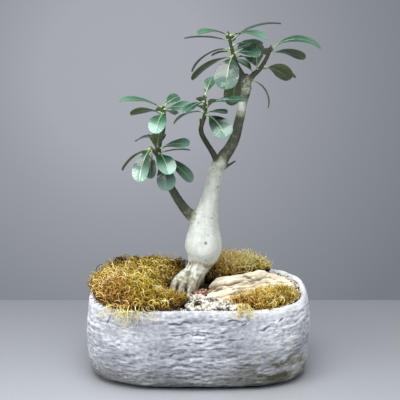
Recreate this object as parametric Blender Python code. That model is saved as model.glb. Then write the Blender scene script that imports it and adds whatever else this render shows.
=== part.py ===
"""A desert rose grown as a bonsai, planted in a rough cast trough with moss, gravel and a rock.

Run it with blender --background --python part.py. Metres, +Z up. The origin is the centre of the
trough's flat base, +X runs along the trough's length and -Y is its front.
"""

import math

import bmesh
import bpy
import numpy as np
from mathutils import Vector

MM = 0.001

# Driving dimensions
POT_LENGTH = 300 * MM
POT_DEPTH = 180 * MM
POT_HEIGHT = 113 * MM
WALL = 12 * MM
FLOOR_THICKNESS = 14 * MM
PLAN_POWER = 3.1  # 2 is an ellipse, larger is squarer
SOIL_TOP = 110 * MM
GAP = 0.4 * MM  # air between pieces that rest against each other

PLAN_SIDES = 48
SHARP_ANGLE = math.radians(40)


def clear_scene():
    """Removes the startup scene's objects."""
    for obj in list(bpy.data.objects):
        bpy.data.objects.remove(obj)


def material(name, rgb, roughness, metallic=0.0):
    """A plain Principled material."""
    made = bpy.data.materials.new(name)
    made.use_nodes = True
    shader = made.node_tree.nodes["Principled BSDF"]
    shader.inputs["Base Color"].default_value = (*rgb, 1.0)
    shader.inputs["Roughness"].default_value = roughness
    shader.inputs["Metallic"].default_value = metallic
    made.diffuse_color = (*rgb, 1.0)
    return made


def make_object(name, vertices, faces, surface, smooth=True):
    """An object from points and faces, with its normals pointing out."""
    mesh = bpy.data.meshes.new(name)
    mesh.from_pydata([tuple(v) for v in vertices], [], faces)
    shape = bmesh.new()
    shape.from_mesh(mesh)
    bmesh.ops.recalc_face_normals(shape, faces=shape.faces)
    shape.to_mesh(mesh)
    shape.free()
    if smooth:
        mesh.shade_smooth()
        mesh.set_sharp_from_angle(angle=SHARP_ANGLE)
    mesh.materials.append(surface)
    obj = bpy.data.objects.new(name, mesh)
    bpy.context.scene.collection.objects.link(obj)
    return obj


def as_helper(obj):
    """Marks an object as a cutter or a joined-in limb, which is no node of its own."""
    obj.hide_render = True
    obj.display_type = "WIRE"
    return obj


def boolean(obj, other, operation):
    """Adds an exact Boolean with a helper object."""
    modifier = obj.modifiers.new(other.name, "BOOLEAN")
    modifier.operation = operation
    modifier.solver = "EXACT"
    modifier.object = other


def bridged(rings, sides):
    """Quads between successive closed rings, and the two end caps as single faces."""
    faces = []
    for k in range(rings - 1):
        for i in range(sides):
            j = (i + 1) % sides
            low = k * sides
            high = low + sides
            faces.append((low + i, low + j, high + j, high + i))
    faces.append(tuple(range(sides)))
    faces.append(tuple(range((rings - 1) * sides, rings * sides)))
    return faces


# ---------------------------------------------------------------- trough

DRAIN_SIDES = 12
DRAIN_RADIUS = 9 * MM
DRAIN_OFFSET = 75 * MM
CUTTER_MARGIN = 5 * MM
LIP_DROP = 3 * MM  # how far the wall's inner edge is rounded down from the rim


def plan_ring(inset, z):
    """The trough's outline at a height: a superellipse pulled in by inset."""
    half_x = POT_LENGTH / 2 - inset
    half_y = POT_DEPTH / 2 - inset
    ring = []
    for i in range(PLAN_SIDES):
        angle = 2 * math.pi * (i + 0.5) / PLAN_SIDES
        c = math.cos(angle)
        s = math.sin(angle)
        x = half_x * math.copysign(abs(c) ** (2 / PLAN_POWER), c)
        y = half_y * math.copysign(abs(s) ** (2 / PLAN_POWER), s)
        ring.append((x, y, z))
    return ring


def walled(name, profile, surface):
    """A closed shape from the outline's rings at each (inset, height) of a profile."""
    points = []
    for inset, z in profile:
        points += plan_ring(inset, z)
    return make_object(name, points, bridged(len(profile), PLAN_SIDES), surface)


def wall_profile():
    """(inset, height) up the outside: rounded bottom edge, slightly bellied wall, rounded rim."""
    return [
        (20 * MM, 0.0),
        (11 * MM, 2.5 * MM),
        (5 * MM, 8 * MM),
        (1.5 * MM, 20 * MM),
        (0.0, 45 * MM),
        (0.0, 75 * MM),
        (1.5 * MM, 98 * MM),
        (3.5 * MM, POT_HEIGHT - 4 * MM),
        (6.5 * MM, POT_HEIGHT),
        (9.5 * MM, POT_HEIGHT),
    ]


def cavity_profile(top, clearance=0.0):
    """(inset, height) down the inside, from the height top to the floor."""
    inside = [
        (WALL + 1 * MM, 60 * MM),
        (WALL + 4 * MM, 28 * MM),
        (WALL + 14 * MM, FLOOR_THICKNESS + 2 * MM),
        (WALL + 24 * MM, FLOOR_THICKNESS),
    ]
    cleared = [(inset + clearance, z + clearance) for inset, z in inside]
    return [(WALL + clearance, top), *cleared]


def drain_cutter(name, centre_x, surface):
    """An upright cylinder that runs past both faces of the floor."""
    points = []
    for z in (-CUTTER_MARGIN, FLOOR_THICKNESS + CUTTER_MARGIN):
        for i in range(DRAIN_SIDES):
            angle = 2 * math.pi * i / DRAIN_SIDES
            x = centre_x + DRAIN_RADIUS * math.cos(angle)
            points.append((x, DRAIN_RADIUS * math.sin(angle), z))
    return as_helper(make_object(name, points, bridged(2, DRAIN_SIDES), surface, smooth=False))


def build_trough(surface):
    """A thick-walled cast trough with two drain holes through its floor."""
    profile = wall_profile() + cavity_profile(POT_HEIGHT - LIP_DROP)
    trough = walled("trough", profile, surface)
    for name, centre_x in (("drain_left", -DRAIN_OFFSET), ("drain_right", DRAIN_OFFSET)):
        boolean(trough, drain_cutter(name, centre_x, surface), "DIFFERENCE")


def build_soil(surface):
    """The potting mix, which fills the cavity."""
    return walled("potting_mix", cavity_profile(SOIL_TOP, clearance=GAP), surface)


# ---------------------------------------------------------------- woody stems

# Each limb is a list of (x, y, z, radius) in millimetres, from its root end to its tip.
LIMBS = {
    "caudex": [
        (0, 8, 136, 13),
        (2.5, 11, 145, 17.5),
        (5.5, 12, 154, 22),
        (7, 12, 165, 25.4),
        (7.5, 12, 178, 24),
        (8, 12, 190, 21.2),
        (9, 12, 204, 18.4),
        (12, 12, 218, 15.2),
        (15.5, 12, 232, 12.4),
        (19, 12, 252, 11),
        (23.5, 12, 272, 10.3),
        (28, 12, 286, 9.8),
    ],
    "right_stem": [
        (26, 12, 280, 9.2),
        (34, 14, 293, 8.4),
        (41, 16, 302, 7.7),
        (49, 20, 317, 7),
        (53.5, 24, 336, 6.4),
        (57, 27, 351, 6),
        (60, 30, 365, 6),
        (63, 32, 379, 6.4),
        (64, 33, 389, 6.8),
        (63, 33, 396, 4.6),
    ],
    "crown_left": [
        (62, 32, 388, 4.2),
        (55.5, 27, 403, 3.6),
        (50, 23, 414, 3.1),
        (46, 20, 426, 2.8),
        (43, 18, 438, 2.5),
        (40.5, 17, 448, 2.2),
        (38.5, 16, 457, 1.7),
    ],
    "crown_right": [
        (65, 33, 389, 4),
        (74, 38, 398, 3.4),
        (82, 42, 405, 3.1),
        (88, 45, 414, 2.8),
        (92.5, 47, 423, 2.5),
        (96, 48, 433, 1.8),
    ],
    "middle": [
        (27, 10, 284, 4.8),
        (19.5, 4, 300, 3.9),
        (10.5, -4, 317, 3.5),
        (5, -10, 329, 3.4),
        (4, -13, 339, 3.1),
        (7.5, -17, 351, 2.8),
        (9.5, -20, 362, 2.6),
        (9, -22, 373, 2.3),
        (7.5, -24, 383, 1.7),
    ],
    "middle_stub": [(4.2, -12, 335, 2), (3.2, -11, 349, 1.6)],
    "twig": [(32, 12, 276, 2.4), (41, 12, 281.5, 1.7), (49, 11, 287, 1.1)],
    "left": [
        (0, 12, 204, 7.4),
        (-14, 9, 217, 6.4),
        (-23.5, 5, 231, 5.9),
        (-31, 1, 245, 5.5),
        (-38, -2, 260, 5.2),
        (-44.5, -5, 277, 4.8),
        (-49.5, -8, 293, 4.4),
        (-52, -10, 305, 4.1),
        (-50, -11, 318, 3.5),
        (-46, -12, 330, 3.1),
        (-44, -13, 343, 2.8),
        (-43.5, -14, 357, 2.4),
        (-45, -15, 367, 1.8),
    ],
    "left_low": [(-50.5, -9, 299, 3.3), (-57, -14, 307, 2.7), (-62, -19, 314, 1.9)],
    "left_stub": [(-52, -9, 309, 2), (-58, -7, 318, 1.8), (-64, -5, 327, 1.5)],
    "root_main": [
        (7, 12, 151, 17),
        (1.5, 5, 140, 14),
        (-4, -2, 130, 12),
        (-7.5, -7, 121, 10.5),
        (-10, -11, 111, 8.5),
        (-12, -14, 100, 5.5),
    ],
    "root_left": [
        (-4, 4, 138, 11),
        (-15, 0, 130, 10),
        (-25, -4, 123, 9),
        (-32, -7, 114, 7.5),
        (-35, -9, 104, 5.5),
    ],
    "root_toe": [
        (-12, -2, 130, 8),
        (-20, -8, 120, 8),
        (-23, -12, 110, 6.5),
        (-24, -14, 101, 5),
    ],
    "root_back": [
        (10, 20, 150, 11),
        (11, 31, 137, 8.6),
        (12, 41, 122, 6.8),
        (13, 46, 106, 5),
    ],
    "taproot": [(5, 15, 145, 13), (2, 17, 128, 9.5), (0, 19, 110, 7.5), (0, 19, 90, 6)],
}
LIMB_SIDES = {
    "caudex": 16,
    "right_stem": 10,
    "left": 10,
    "root_main": 12,
    "taproot": 10,
    "root_back": 8,
    "root_left": 8,
}
DEFAULT_SIDES = 6
LONG_LIMB = 9  # limbs with at least this many stations are fine enough as they stand
FOOT = ("caudex", "taproot", "root_main", "root_left", "root_toe", "root_back")
POCKET_GROW = 2 * GAP  # a faceted limb grown by this keeps at least one gap all round
TUBE_END_LENGTH = 0.5  # how far a limb's blunt end reaches past its last station, in radii
TUBE_END_RADIUS = 0.6  # and its radius there


def smooth_path(points, steps):
    """A Catmull-Rom curve through the points, with steps spans between each two."""
    p = np.array([points[0], *points, points[-1]], float)
    p[0] = 2 * p[1] - p[2]
    p[-1] = 2 * p[-2] - p[-3]
    found = []
    for k in range(1, len(p) - 2):
        for t in np.arange(steps) / steps:
            a = 2 * p[k]
            b = p[k + 1] - p[k - 1]
            c = 2 * p[k - 1] - 5 * p[k] + 4 * p[k + 1] - p[k + 2]
            d = -p[k - 1] + 3 * p[k] - 3 * p[k + 1] + p[k + 2]
            found.append((a + b * t + c * t**2 + d * t**3) / 2)
    found.append(p[-2])
    return np.array(found)


def tube(name, path, sides, surface, grow=0.0):
    """A round tapering limb along (x, y, z, radius) stations, with blunt rounded ends."""
    centres = [Vector(p[:3]) for p in path]
    radii = [p[3] + grow for p in path]
    backward = (centres[0] - centres[1]).normalized() * (radii[0] * TUBE_END_LENGTH)
    forward = (centres[-1] - centres[-2]).normalized() * (radii[-1] * TUBE_END_LENGTH)
    centres = [centres[0] + backward, *centres, centres[-1] + forward]
    radii = [radii[0] * TUBE_END_RADIUS, *radii, radii[-1] * TUBE_END_RADIUS]
    points = []
    normal = None
    for k, centre in enumerate(centres):
        ahead = centres[min(k + 1, len(centres) - 1)]
        behind = centres[max(k - 1, 0)]
        along = (ahead - behind).normalized()
        if normal is None:
            normal = along.orthogonal()
        normal = (normal - along * normal.dot(along)).normalized()
        side = along.cross(normal)
        for i in range(sides):
            angle = 2 * math.pi * i / sides
            turn = normal * math.cos(angle) + side * math.sin(angle)
            points.append(centre + turn * radii[k])
    return make_object(name, points, bridged(len(centres), sides), surface)


def limb_path(name):
    """A limb's stations in metres, smoothed where they are few."""
    stations = np.array(LIMBS[name], float) * MM
    return smooth_path(stations, 1 if len(stations) >= LONG_LIMB else 2)


def build_trunk(surface):
    """Caudex, roots and stems grown as one: every limb joined into the caudex."""
    trunk = None
    for name in LIMBS:
        sides = LIMB_SIDES.get(name, DEFAULT_SIDES)
        limb = tube(f"limb_{name}", limb_path(name), sides, surface)
        if trunk is None:
            trunk = limb
            trunk.name = "caudex_trunk"
        else:
            boolean(trunk, as_helper(limb), "UNION")


def cut_pockets(pieces, surface):
    """Cuts the room that the foot of the plant takes out of the pieces it stands in."""
    for name in FOOT:
        sides = LIMB_SIDES.get(name, DEFAULT_SIDES)
        pocket = tube(f"pocket_{name}", limb_path(name), sides, surface, grow=POCKET_GROW)
        as_helper(pocket)
        for piece in pieces:
            boolean(piece, pocket, "DIFFERENCE")


# ---------------------------------------------------------------- leaves

# name: (limb, share along it, azimuth, lift, length, width, droop, roll)
# Angles in degrees, sizes in millimetres. Azimuth 0 is +X and 90 is +Y; lift is the chord's
# slope; droop is how far the leaf turns downwards from stalk to tip; roll tips its blade.
LEAVES = {
    "leaf_left_01": ("left", 1.0, -166, 11, 55, 19, 45, -6),
    "leaf_left_02": ("left", 0.95, 153, -10, 47, 16, 45, 35),
    "leaf_left_03": ("left", 0.95, -103, -22, 45, 23, 60, 0),
    "leaf_left_04": ("left", 1.0, 48, 16, 28, 15, 25, 30),
    "leaf_left_05": ("left", 0.98, -38, 9, 42, 23, 35, 20),
    "leaf_left_06": ("left", 0.95, 72, -18, 40, 16, 40, 0),
    "leaf_left_07": ("left", 1.0, 98, -30, 36, 13, 25, 0),
    "leaf_left_08": ("left", 0.74, 139, -14, 42, 14, 45, -10),
    "leaf_left_09": ("left", 0.7, -85, 40, 39, 20, 25, 0),
    "leaf_left_10": ("left", 0.69, -32, 13, 44, 21, 45, 22),
    "leaf_left_11": ("left", 0.65, 8, 2, 37, 17, 25, -14),
    "leaf_left_12": ("left_low", 0.35, 112, -20, 38, 16, 45, 0),
    "leaf_left_13": ("left_low", 0.97, -115, -50, 48, 24, 55, 0),
    "leaf_left_14": ("left_low", 0.82, -92, -62, 37, 15, 40, 6),
    "leaf_left_15": ("left", 0.65, -70, -25, 44, 25, 60, 4),
    "leaf_left_16": ("left", 0.6, -62, -62, 42, 25, 40, 10),
    "leaf_left_17": ("left", 0.61, -16, -38, 50, 21, 30, 24),
    "leaf_left_18": ("left_low", 0.95, -176, -40, 45, 15, 45, 24),
    "leaf_middle_01": ("middle", 0.99, 68, 36, 32, 15, 15, 0),
    "leaf_middle_02": ("middle", 0.97, 98, -22, 33, 14, 25, 0),
    "leaf_middle_03": ("middle", 0.86, -62, 22, 50, 21, 45, 0),
    "leaf_middle_04": ("middle", 0.9, -8, 6, 50, 19, 25, 12),
    "leaf_middle_05": ("middle", 0.77, -52, -30, 46, 28, 55, 20),
    "leaf_middle_06": ("middle", 0.8, -160, -18, 43, 14, 65, 12),
    "leaf_middle_07": ("middle", 0.93, -130, -12, 37, 15, 40, -4),
    "leaf_middle_08": ("middle", 0.78, 100, -4, 43, 18, 45, 0),
    "leaf_middle_09": ("middle", 0.8, -22, 2, 26, 15, 30, 10),
    "leaf_crown_01": ("crown_left", 0.97, -146, 6, 45, 20, 50, -4),
    "leaf_crown_02": ("crown_left", 0.87, 172, 1, 56, 18, 25, 7),
    "leaf_crown_03": ("crown_left", 0.72, -170, -31, 60, 18, 70, 18),
    "leaf_crown_04": ("crown_left", 0.56, 165, -33, 63, 16, 45, 30),
    "leaf_crown_05": ("crown_left", 0.59, -106, -47, 53, 33, 65, 0),
    "leaf_crown_06": ("crown_left", 0.65, 42, 8, 40, 20, 15, 14),
    "leaf_crown_07": ("crown_left", 0.62, -20, -4, 33, 22, 50, 24),
    "leaf_crown_08": ("crown_left", 0.94, 82, -25, 34, 13, 25, 0),
    "leaf_crown_09": ("crown_left", 0.94, -22, -3, 50, 22, 55, 4),
    "leaf_crown_10": ("crown_left", 0.85, 30, 11, 78, 18, 45, -8),
    "leaf_crown_11": ("crown_left", 0.5, 50, -22, 45, 19, 60, 0),
    "leaf_crown_12": ("crown_left", 0.22, 102, -60, 60, 26, 30, 0),
    "leaf_crown_13": ("crown_right", 0.36, -96, 60, 43, 20, 20, 0),
    "leaf_crown_14": ("crown_right", 1.0, 8, -3, 69, 18, 80, 22),
    "leaf_crown_15": ("crown_right", 0.86, 20, -14, 50, 21, 50, -34),
    "leaf_crown_16": ("crown_right", 0.52, -8, -27, 37, 32, 50, -50),
    "leaf_crown_17": ("crown_right", 0.48, 34, -19, 58, 16, 45, 0),
    "leaf_crown_18": ("crown_right", 0.96, 95, -25, 38, 15, 30, 0),
    "leaf_crown_19": ("crown_right", 0.26, 122, 14, 42, 17, 35, 0),
    "leaf_crown_20": ("crown_right", 0.12, -4, -62, 45, 14, 80, 0),
    "leaf_crown_21": ("crown_left", 0.66, 176, -14, 24, 11, 40, 20),
    "leaf_crown_22": ("crown_left", 0.76, -10, 4, 38, 16, 35, 10),
}
LEAF_STATIONS = (0.0, 0.14, 0.3, 0.45, 0.6, 0.75, 0.9, 1.0)
STALK_SHARE = 0.1  # of the leaf's length, before the blade begins
STALK_HALF_WIDTH = 1.0 * MM
LEAF_THICKNESS = 1.3 * MM
TIP_WIDTH_SHARE = 0.3
BLADE_RISE = 0.95  # how slowly the blade widens from the stalk
BLADE_ROUND = 0.5  # how bluntly it ends
BLADE_CUP = 0.12  # how far the edges lift, as a share of the half width
STALK_GAP = 1.6 * MM  # from the stem's surface to the stalk's centre line


def blade_half_width(t, width):
    """Half the leaf's width at share t of its length: a narrow stalk, then an obovate blade."""
    x = min(max((t - STALK_SHARE) / (1 - STALK_SHARE), 0.0), 1.0)
    peak = BLADE_RISE / (BLADE_RISE + BLADE_ROUND)
    highest = peak**BLADE_RISE * (1 - peak) ** BLADE_ROUND
    blade = x**BLADE_RISE * (1 - x) ** BLADE_ROUND / highest
    if t >= 1.0:
        return width / 2 * TIP_WIDTH_SHARE
    return max(STALK_HALF_WIDTH, width / 2 * blade)


def on_limb(name, share):
    """(centre, direction, radius) at a share of a limb's length."""
    path = smooth_path(np.array(LIMBS[name], float) * MM, 8)
    steps = np.linalg.norm(np.diff(path[:, :3], axis=0), axis=1)
    along = np.concatenate([[0], np.cumsum(steps)]) / steps.sum()
    place = [np.interp(share, along, path[:, k]) for k in range(4)]
    k = min(int(np.searchsorted(along, share)), len(path) - 2)
    direction = Vector(path[k + 1, :3] - path[k, :3]).normalized()
    return Vector(place[:3]), direction, place[3]


def leaf_frames(row):
    """(centre, across, up) along a leaf: its midrib is an arc in one upright plane."""
    limb, share, azimuth, lift, length, _, droop, roll = row
    azimuth, lift, droop, roll = (math.radians(a) for a in (azimuth, lift, droop, roll))
    heading = Vector((math.cos(azimuth), math.sin(azimuth), 0))
    centre, stem, radius = on_limb(limb, share)
    start = heading * math.cos(lift + droop / 2) + Vector((0, 0, math.sin(lift + droop / 2)))
    outward = (start - stem * start.dot(stem)).normalized()
    at = centre + outward * (radius + STALK_GAP)
    frames = []
    reached = 0.0
    for t in LEAF_STATIONS:
        middle = lift + droop / 2 - droop * (reached + t) / 2
        step = heading * math.cos(middle) + Vector((0, 0, math.sin(middle)))
        at = at + step * (length * MM * (t - reached))
        reached = t
        pitch = lift + droop / 2 - droop * t
        along = heading * math.cos(pitch) + Vector((0, 0, math.sin(pitch)))
        up = Vector((0, 0, math.cos(pitch))) - heading * math.sin(pitch)
        across = along.cross(up)
        tipped_up = up * math.cos(roll) + across * math.sin(roll)
        frames.append((at.copy(), along.cross(tipped_up), tipped_up))
    return frames


def build_leaf(name, row, surface):
    """A thin closed blade with a raised midrib on both faces."""
    points = []
    for t, (centre, across, up) in zip(LEAF_STATIONS, leaf_frames(row)):
        half = blade_half_width(t, row[5] * MM)
        lifted = up * (half * BLADE_CUP)
        thick = up * (LEAF_THICKNESS / 2)
        points += [
            centre - across * half + lifted,
            centre + thick,
            centre + across * half + lifted,
            centre - thick,
        ]
    return make_object(name, points, bridged(len(LEAF_STATIONS), 4), surface)


# ---------------------------------------------------------------- what covers the soil

# Outlines are (x, y) points in millimetres round each piece, seen from above.
MOSS_LEFT = [
    (-16, -62), (-20, -36), (-44, -24), (-50, -4), (-44, 12), (-26, 22), (-18, 42), (-20, 68),
    (-50, 80), (-95, 79), (-122, 66), (-139, 35), (-142, 0), (-138, -38), (-122, -66),
    (-94, -81), (-60, -84), (-34, -80),
]
MOSS_BACK = [
    (24, 76), (-2, 70), (-8, 52), (-2, 34), (12, 16), (24, 22), (40, 29), (56, 35), (70, 42),
    (90, 53), (102, 60), (92, 72), (60, 79),
]
MOSS_FRONT = [
    (42, -50), (60, -44), (80, -34), (104, -28), (122, -20), (130, -22), (126, -40),
    (110, -58), (88, -70), (70, -73), (56, -63),
]
ROCK = [
    (14, -36), (14, -16), (15, 5), (26, 15), (40, 22), (56, 28), (76, 35), (96, 47), (112, 42),
    (124, 22), (130, -2), (122, -14), (104, -22), (80, -28), (58, -38), (38, -48), (24, -47),
]
GRAVEL = [
    (-14, -72), (-12, -48), (-14, -30), (-5, -29), (2, -33), (12, -43), (24, -53),
    (36, -55), (48, -62), (60, -70), (54, -74), (34, -74), (12, -75),
]


MOSS_HEIGHT = 24 * MM
MOSS_FRONT_HEIGHT = 13 * MM
ROCK_HEIGHT = 20 * MM
GRAVEL_HEIGHT = 4 * MM
MOUND_SHARES = (1.0, 0.97, 0.82, 0.58, 0.3)  # rings, from the outline towards the middle
MOUND_EDGE = 0.25  # height at the outline, as a share of the whole
LUMP_HEIGHT = 0.15  # as a share of the mound's height
LUMP_X = 9 * MM
LUMP_Y = 7 * MM
LUMP_SLANT = 23 * MM
CREST_OFFSET = 6 * MM
CREST_SLOPE = 0.33
CREST_FALL = 0.45  # share of the rock's height that is lost away from its crest
CREST_REACH = 38 * MM
LAVA_SIZE = (13 * MM, 10 * MM, 8 * MM)
LAVA_PLACE = (6 * MM, -24 * MM)
LAVA_BUMP = 0.16  # as a share of its size


def mound(name, outline, base, height, surface, power=3.0, ridge=None):
    """A low mound over an outline: rings shrunk to its middle, higher towards the centre."""
    ring = np.array(outline, float) * MM
    centre = ring.mean(axis=0)
    points = [(x, y, base) for x, y in ring]
    for share in MOUND_SHARES:
        rise = MOUND_EDGE + (1 - MOUND_EDGE) * (1 - share**power)
        for x, y in centre + (ring - centre) * share:
            wave = math.sin(x / LUMP_X) * math.cos(y / LUMP_Y + x / LUMP_SLANT)
            top = rise * (1 + LUMP_HEIGHT * wave)
            if ridge is not None:
                top *= ridge(x, y)
            points.append((x, y, base + height * top))
    return make_object(name, points, bridged(len(MOUND_SHARES) + 1, len(ring)), surface)


def rock_ridge(x, y):
    """The rock is highest along a crest near its back edge and falls away on both sides."""
    crest = CREST_OFFSET + CREST_SLOPE * x
    return 1.0 - CREST_FALL * min(abs(y - crest) / CREST_REACH, 1.0)


def build_lava(surface):
    """A red lava clump: a cut-cornered lump resting on the soil in front of the roots."""
    mesh = bpy.data.meshes.new("lava_clump")
    shape = bmesh.new()
    bmesh.ops.create_icosphere(shape, subdivisions=2, radius=0.5)
    for vertex in shape.verts:
        x, y, z = vertex.co
        bump = 1 + LAVA_BUMP * math.sin(9 * x + 4) * math.cos(8 * y - 3 * z)
        vertex.co = Vector([c * s * bump for c, s in zip((x, y, z), LAVA_SIZE)])
    lowest = min(v.co.z for v in shape.verts)
    for vertex in shape.verts:
        vertex.co += Vector((*LAVA_PLACE, SOIL_TOP + GAP - lowest))
    shape.to_mesh(mesh)
    shape.free()
    mesh.shade_smooth()
    mesh.materials.append(surface)
    bpy.context.scene.collection.objects.link(bpy.data.objects.new("lava_clump", mesh))


def build_ground_cover():
    """Moss cushions, rock, gravel and the lava clump. Returns the moss that meets the trunk."""
    moss = material("moss", (0.42, 0.29, 0.05), 0.95)
    stone = material("limestone", (0.62, 0.54, 0.38), 0.85)
    chips = material("pumice_gravel", (0.70, 0.66, 0.60), 0.9)
    lava = material("lava", (0.20, 0.08, 0.05), 0.9)
    over_rim = POT_HEIGHT + GAP
    on_soil = SOIL_TOP + GAP
    mound("moss_left", MOSS_LEFT, over_rim, MOSS_HEIGHT, moss)
    back = mound("moss_back", MOSS_BACK, over_rim, MOSS_HEIGHT, moss)
    mound("moss_front", MOSS_FRONT, on_soil, MOSS_FRONT_HEIGHT, moss)
    mound("rock", ROCK, on_soil, ROCK_HEIGHT, stone, power=2.0, ridge=rock_ridge)
    mound("gravel", GRAVEL, on_soil, GRAVEL_HEIGHT, chips, power=6.0)
    build_lava(lava)
    return back


def main():
    clear_scene()
    cast = material("cast_stone", (0.62, 0.63, 0.65), 0.9)
    mix = material("potting_mix", (0.05, 0.035, 0.025), 1.0)
    bark = material("bark", (0.52, 0.53, 0.44), 0.6)
    leaf = material("leaf", (0.04, 0.12, 0.05), 0.35)
    build_trough(cast)
    soil = build_soil(mix)
    build_trunk(bark)
    for name, row in LEAVES.items():
        build_leaf(name, row, leaf)
    moss = build_ground_cover()
    cut_pockets([soil, moss], mix)


main()
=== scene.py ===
# %% [markdown]
# # A desert rose bonsai in a cast stone trough
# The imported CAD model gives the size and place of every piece: a trough, its potting mix, one grown
# trunk, leaves, moss, a rock and gravel. This script builds the fine surface of each one around it.
# The real thing is irregular everywhere, so almost every shape is a formula plus layered noise.

# %% Load the frame
import itertools
import math

import bpy
import numpy as np
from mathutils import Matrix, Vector


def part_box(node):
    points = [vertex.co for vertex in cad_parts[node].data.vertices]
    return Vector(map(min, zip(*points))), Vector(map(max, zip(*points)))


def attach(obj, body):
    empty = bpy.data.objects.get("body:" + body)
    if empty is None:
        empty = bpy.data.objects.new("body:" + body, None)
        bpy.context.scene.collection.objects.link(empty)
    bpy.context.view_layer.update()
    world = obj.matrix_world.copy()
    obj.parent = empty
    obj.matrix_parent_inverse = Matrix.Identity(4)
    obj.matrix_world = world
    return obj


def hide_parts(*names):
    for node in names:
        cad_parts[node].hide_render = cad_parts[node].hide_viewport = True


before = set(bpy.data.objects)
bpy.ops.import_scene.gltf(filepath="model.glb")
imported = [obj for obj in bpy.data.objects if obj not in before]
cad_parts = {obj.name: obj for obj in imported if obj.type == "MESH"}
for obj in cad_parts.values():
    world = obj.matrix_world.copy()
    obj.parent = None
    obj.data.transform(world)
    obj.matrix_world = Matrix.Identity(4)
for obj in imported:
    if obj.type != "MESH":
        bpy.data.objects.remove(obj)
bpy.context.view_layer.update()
MM = 0.001

# %% [markdown]
# ## Colours and nodes
# Colours are written as sRGB hex, and Blender wants linear light, so one function converts them.
# Material graphs are easier to read when one small function adds a node together with its settings
# and its links.


# %% Colour and node helpers
def linear(code):
    """An sRGB hex colour as linear red, green, blue and alpha, by the sRGB curve."""
    channels = [int(code[k : k + 2], 16) / 255 for k in (1, 3, 5)]
    return (*[c / 12.92 if c <= 0.04045 else ((c + 0.055) / 1.055) ** 2.4 for c in channels], 1.0)


def add(tree, kind, inputs=(), stops=(), output=0, **settings):
    """Adds a node and gives one of its outputs, the first unless another is named. An input is a
    value, a hex colour or another node's output, and stops fill a colour ramp."""
    node = tree.nodes.new("ShaderNode" + kind)
    for name, value in settings.items():
        setattr(node, name, value)
    for name, value in dict(inputs).items():
        if isinstance(value, bpy.types.NodeSocket):
            tree.links.new(value, node.inputs[name])
        else:
            node.inputs[name].default_value = linear(value) if isinstance(value, str) else value
    if stops:
        elements = node.color_ramp.elements
        while len(elements) < len(stops):
            elements.new(1.0)
        for element, (place, code) in zip(elements, stops):
            element.position = place
            element.color = linear(code)
    return node.outputs[output]


def darkened(tree, colour, layers):
    """The colour multiplied, each time by a share, by the ramp of each (pattern, share, stops)."""
    for pattern, share, stops in layers:
        tone = add(tree, "ValToRGB", {"Fac": pattern}, stops)
        mix = {"Fac": share, "Color1": colour, "Color2": tone}
        colour = add(tree, "MixRGB", mix, blend_type="MULTIPLY")
    return colour


def new_finish(name, **sockets):
    """A material and its node tree, with plain values set on its Principled shader."""
    made = bpy.data.materials.new(name)
    made.use_nodes = True
    shader = made.node_tree.nodes["Principled BSDF"]
    for socket, value in sockets.items():
        shader.inputs[socket.replace("_", " ")].default_value = value
    return made, made.node_tree


def dressed(made, colour, height=None, strength=0.0, depth_mm=0.0):
    """The material with its colour linked, and a bump of this strength and depth from a height."""
    tree = made.node_tree
    shader = tree.nodes["Principled BSDF"]
    tree.links.new(colour, shader.inputs["Base Color"])
    if height:
        bump = add(tree, "Bump", {"Height": height, "Strength": strength, "Distance": depth_mm * MM})
        tree.links.new(bump, shader.inputs["Normal"])
    return made


def per(size_mm):
    """A texture's scale, in cells per metre, from the real size of one cell in millimetres."""
    return 1000 / size_mm


# %% [markdown]
# ## Noise as whole arrays
# Stone, bark and moss are all rough at several sizes at once. Blender's textures could displace a
# mesh, but then the shape would hang on modifiers. Value noise is a few lines of numpy: a random
# number at each corner of a lattice, blended smoothly, and summed at halving cell sizes.


# %% Noise
def lattice(places, seed):
    """A repeatable random number from 0 to 1 at whole-numbered places, by mixing their bits."""
    x, y, z = (places[..., k] for k in range(3))
    mixed = (x * 73856093) ^ (y * 19349663) ^ (z * 83492791) ^ (seed * 265443576)
    mixed = (mixed ^ (mixed >> 13)) * 1274126177 & 0x7FFFFFFF
    return ((mixed ^ (mixed >> 15)) & 0xFFFF) / 0xFFFF


def noise(points, cell, seed):
    """Value noise from -1 to 1: lattice numbers blended across each cell with 3f^2 - 2f^3."""
    scaled = np.asarray(points) / (np.asarray(cell, float) * MM)
    low = np.floor(scaled).astype(np.int64)
    blend = scaled - low
    blend = blend * blend * (3 - 2 * blend)
    total = 0.0
    for corner in np.ndindex(2, 2, 2):
        weight = np.prod(np.where(corner, blend, 1 - blend), axis=-1)
        total = total + weight * lattice(low + np.array(corner), seed)
    return total * 2 - 1


def fractal(points, cell, octaves, seed):
    """Noise summed over octaves, each with half the cell and half the height of the last."""
    cell = np.asarray(cell, float)
    layers = [noise(points, cell / 2**k, seed + k) / 2**k for k in range(octaves)]
    return sum(layers) / (2 - 2.0 ** (1 - octaves))


def creased(points, cell, octaves, seed, depth=2):
    """Sharp crests: 1 where fractal noise crosses zero, and less by depth times its size."""
    return 1 - depth * np.abs(fractal(points, cell, octaves, seed))


def smooth_step(value, low, high):
    """0 below low, 1 above high, and 3f^2 - 2f^3 between them."""
    f = np.clip((value - low) / (high - low), 0, 1)
    return f * f * (3 - 2 * f)


def unit(vectors):
    """The same directions at length one."""
    return vectors / np.maximum(np.linalg.norm(vectors, axis=-1, keepdims=True), 1e-12)


# %% [markdown]
# ## Grids of points as closed pieces
# Every shape below is a grid of points: rows along it and columns round it. A row of points wraps to
# its start, and each end is closed by a fan to one pole. The signed volume of the closed shape says
# whether its faces look out, and if they look in, every face is turned over.


# %% Mesh helpers
WORTH_PRINTING = 6000  # triangles


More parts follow.
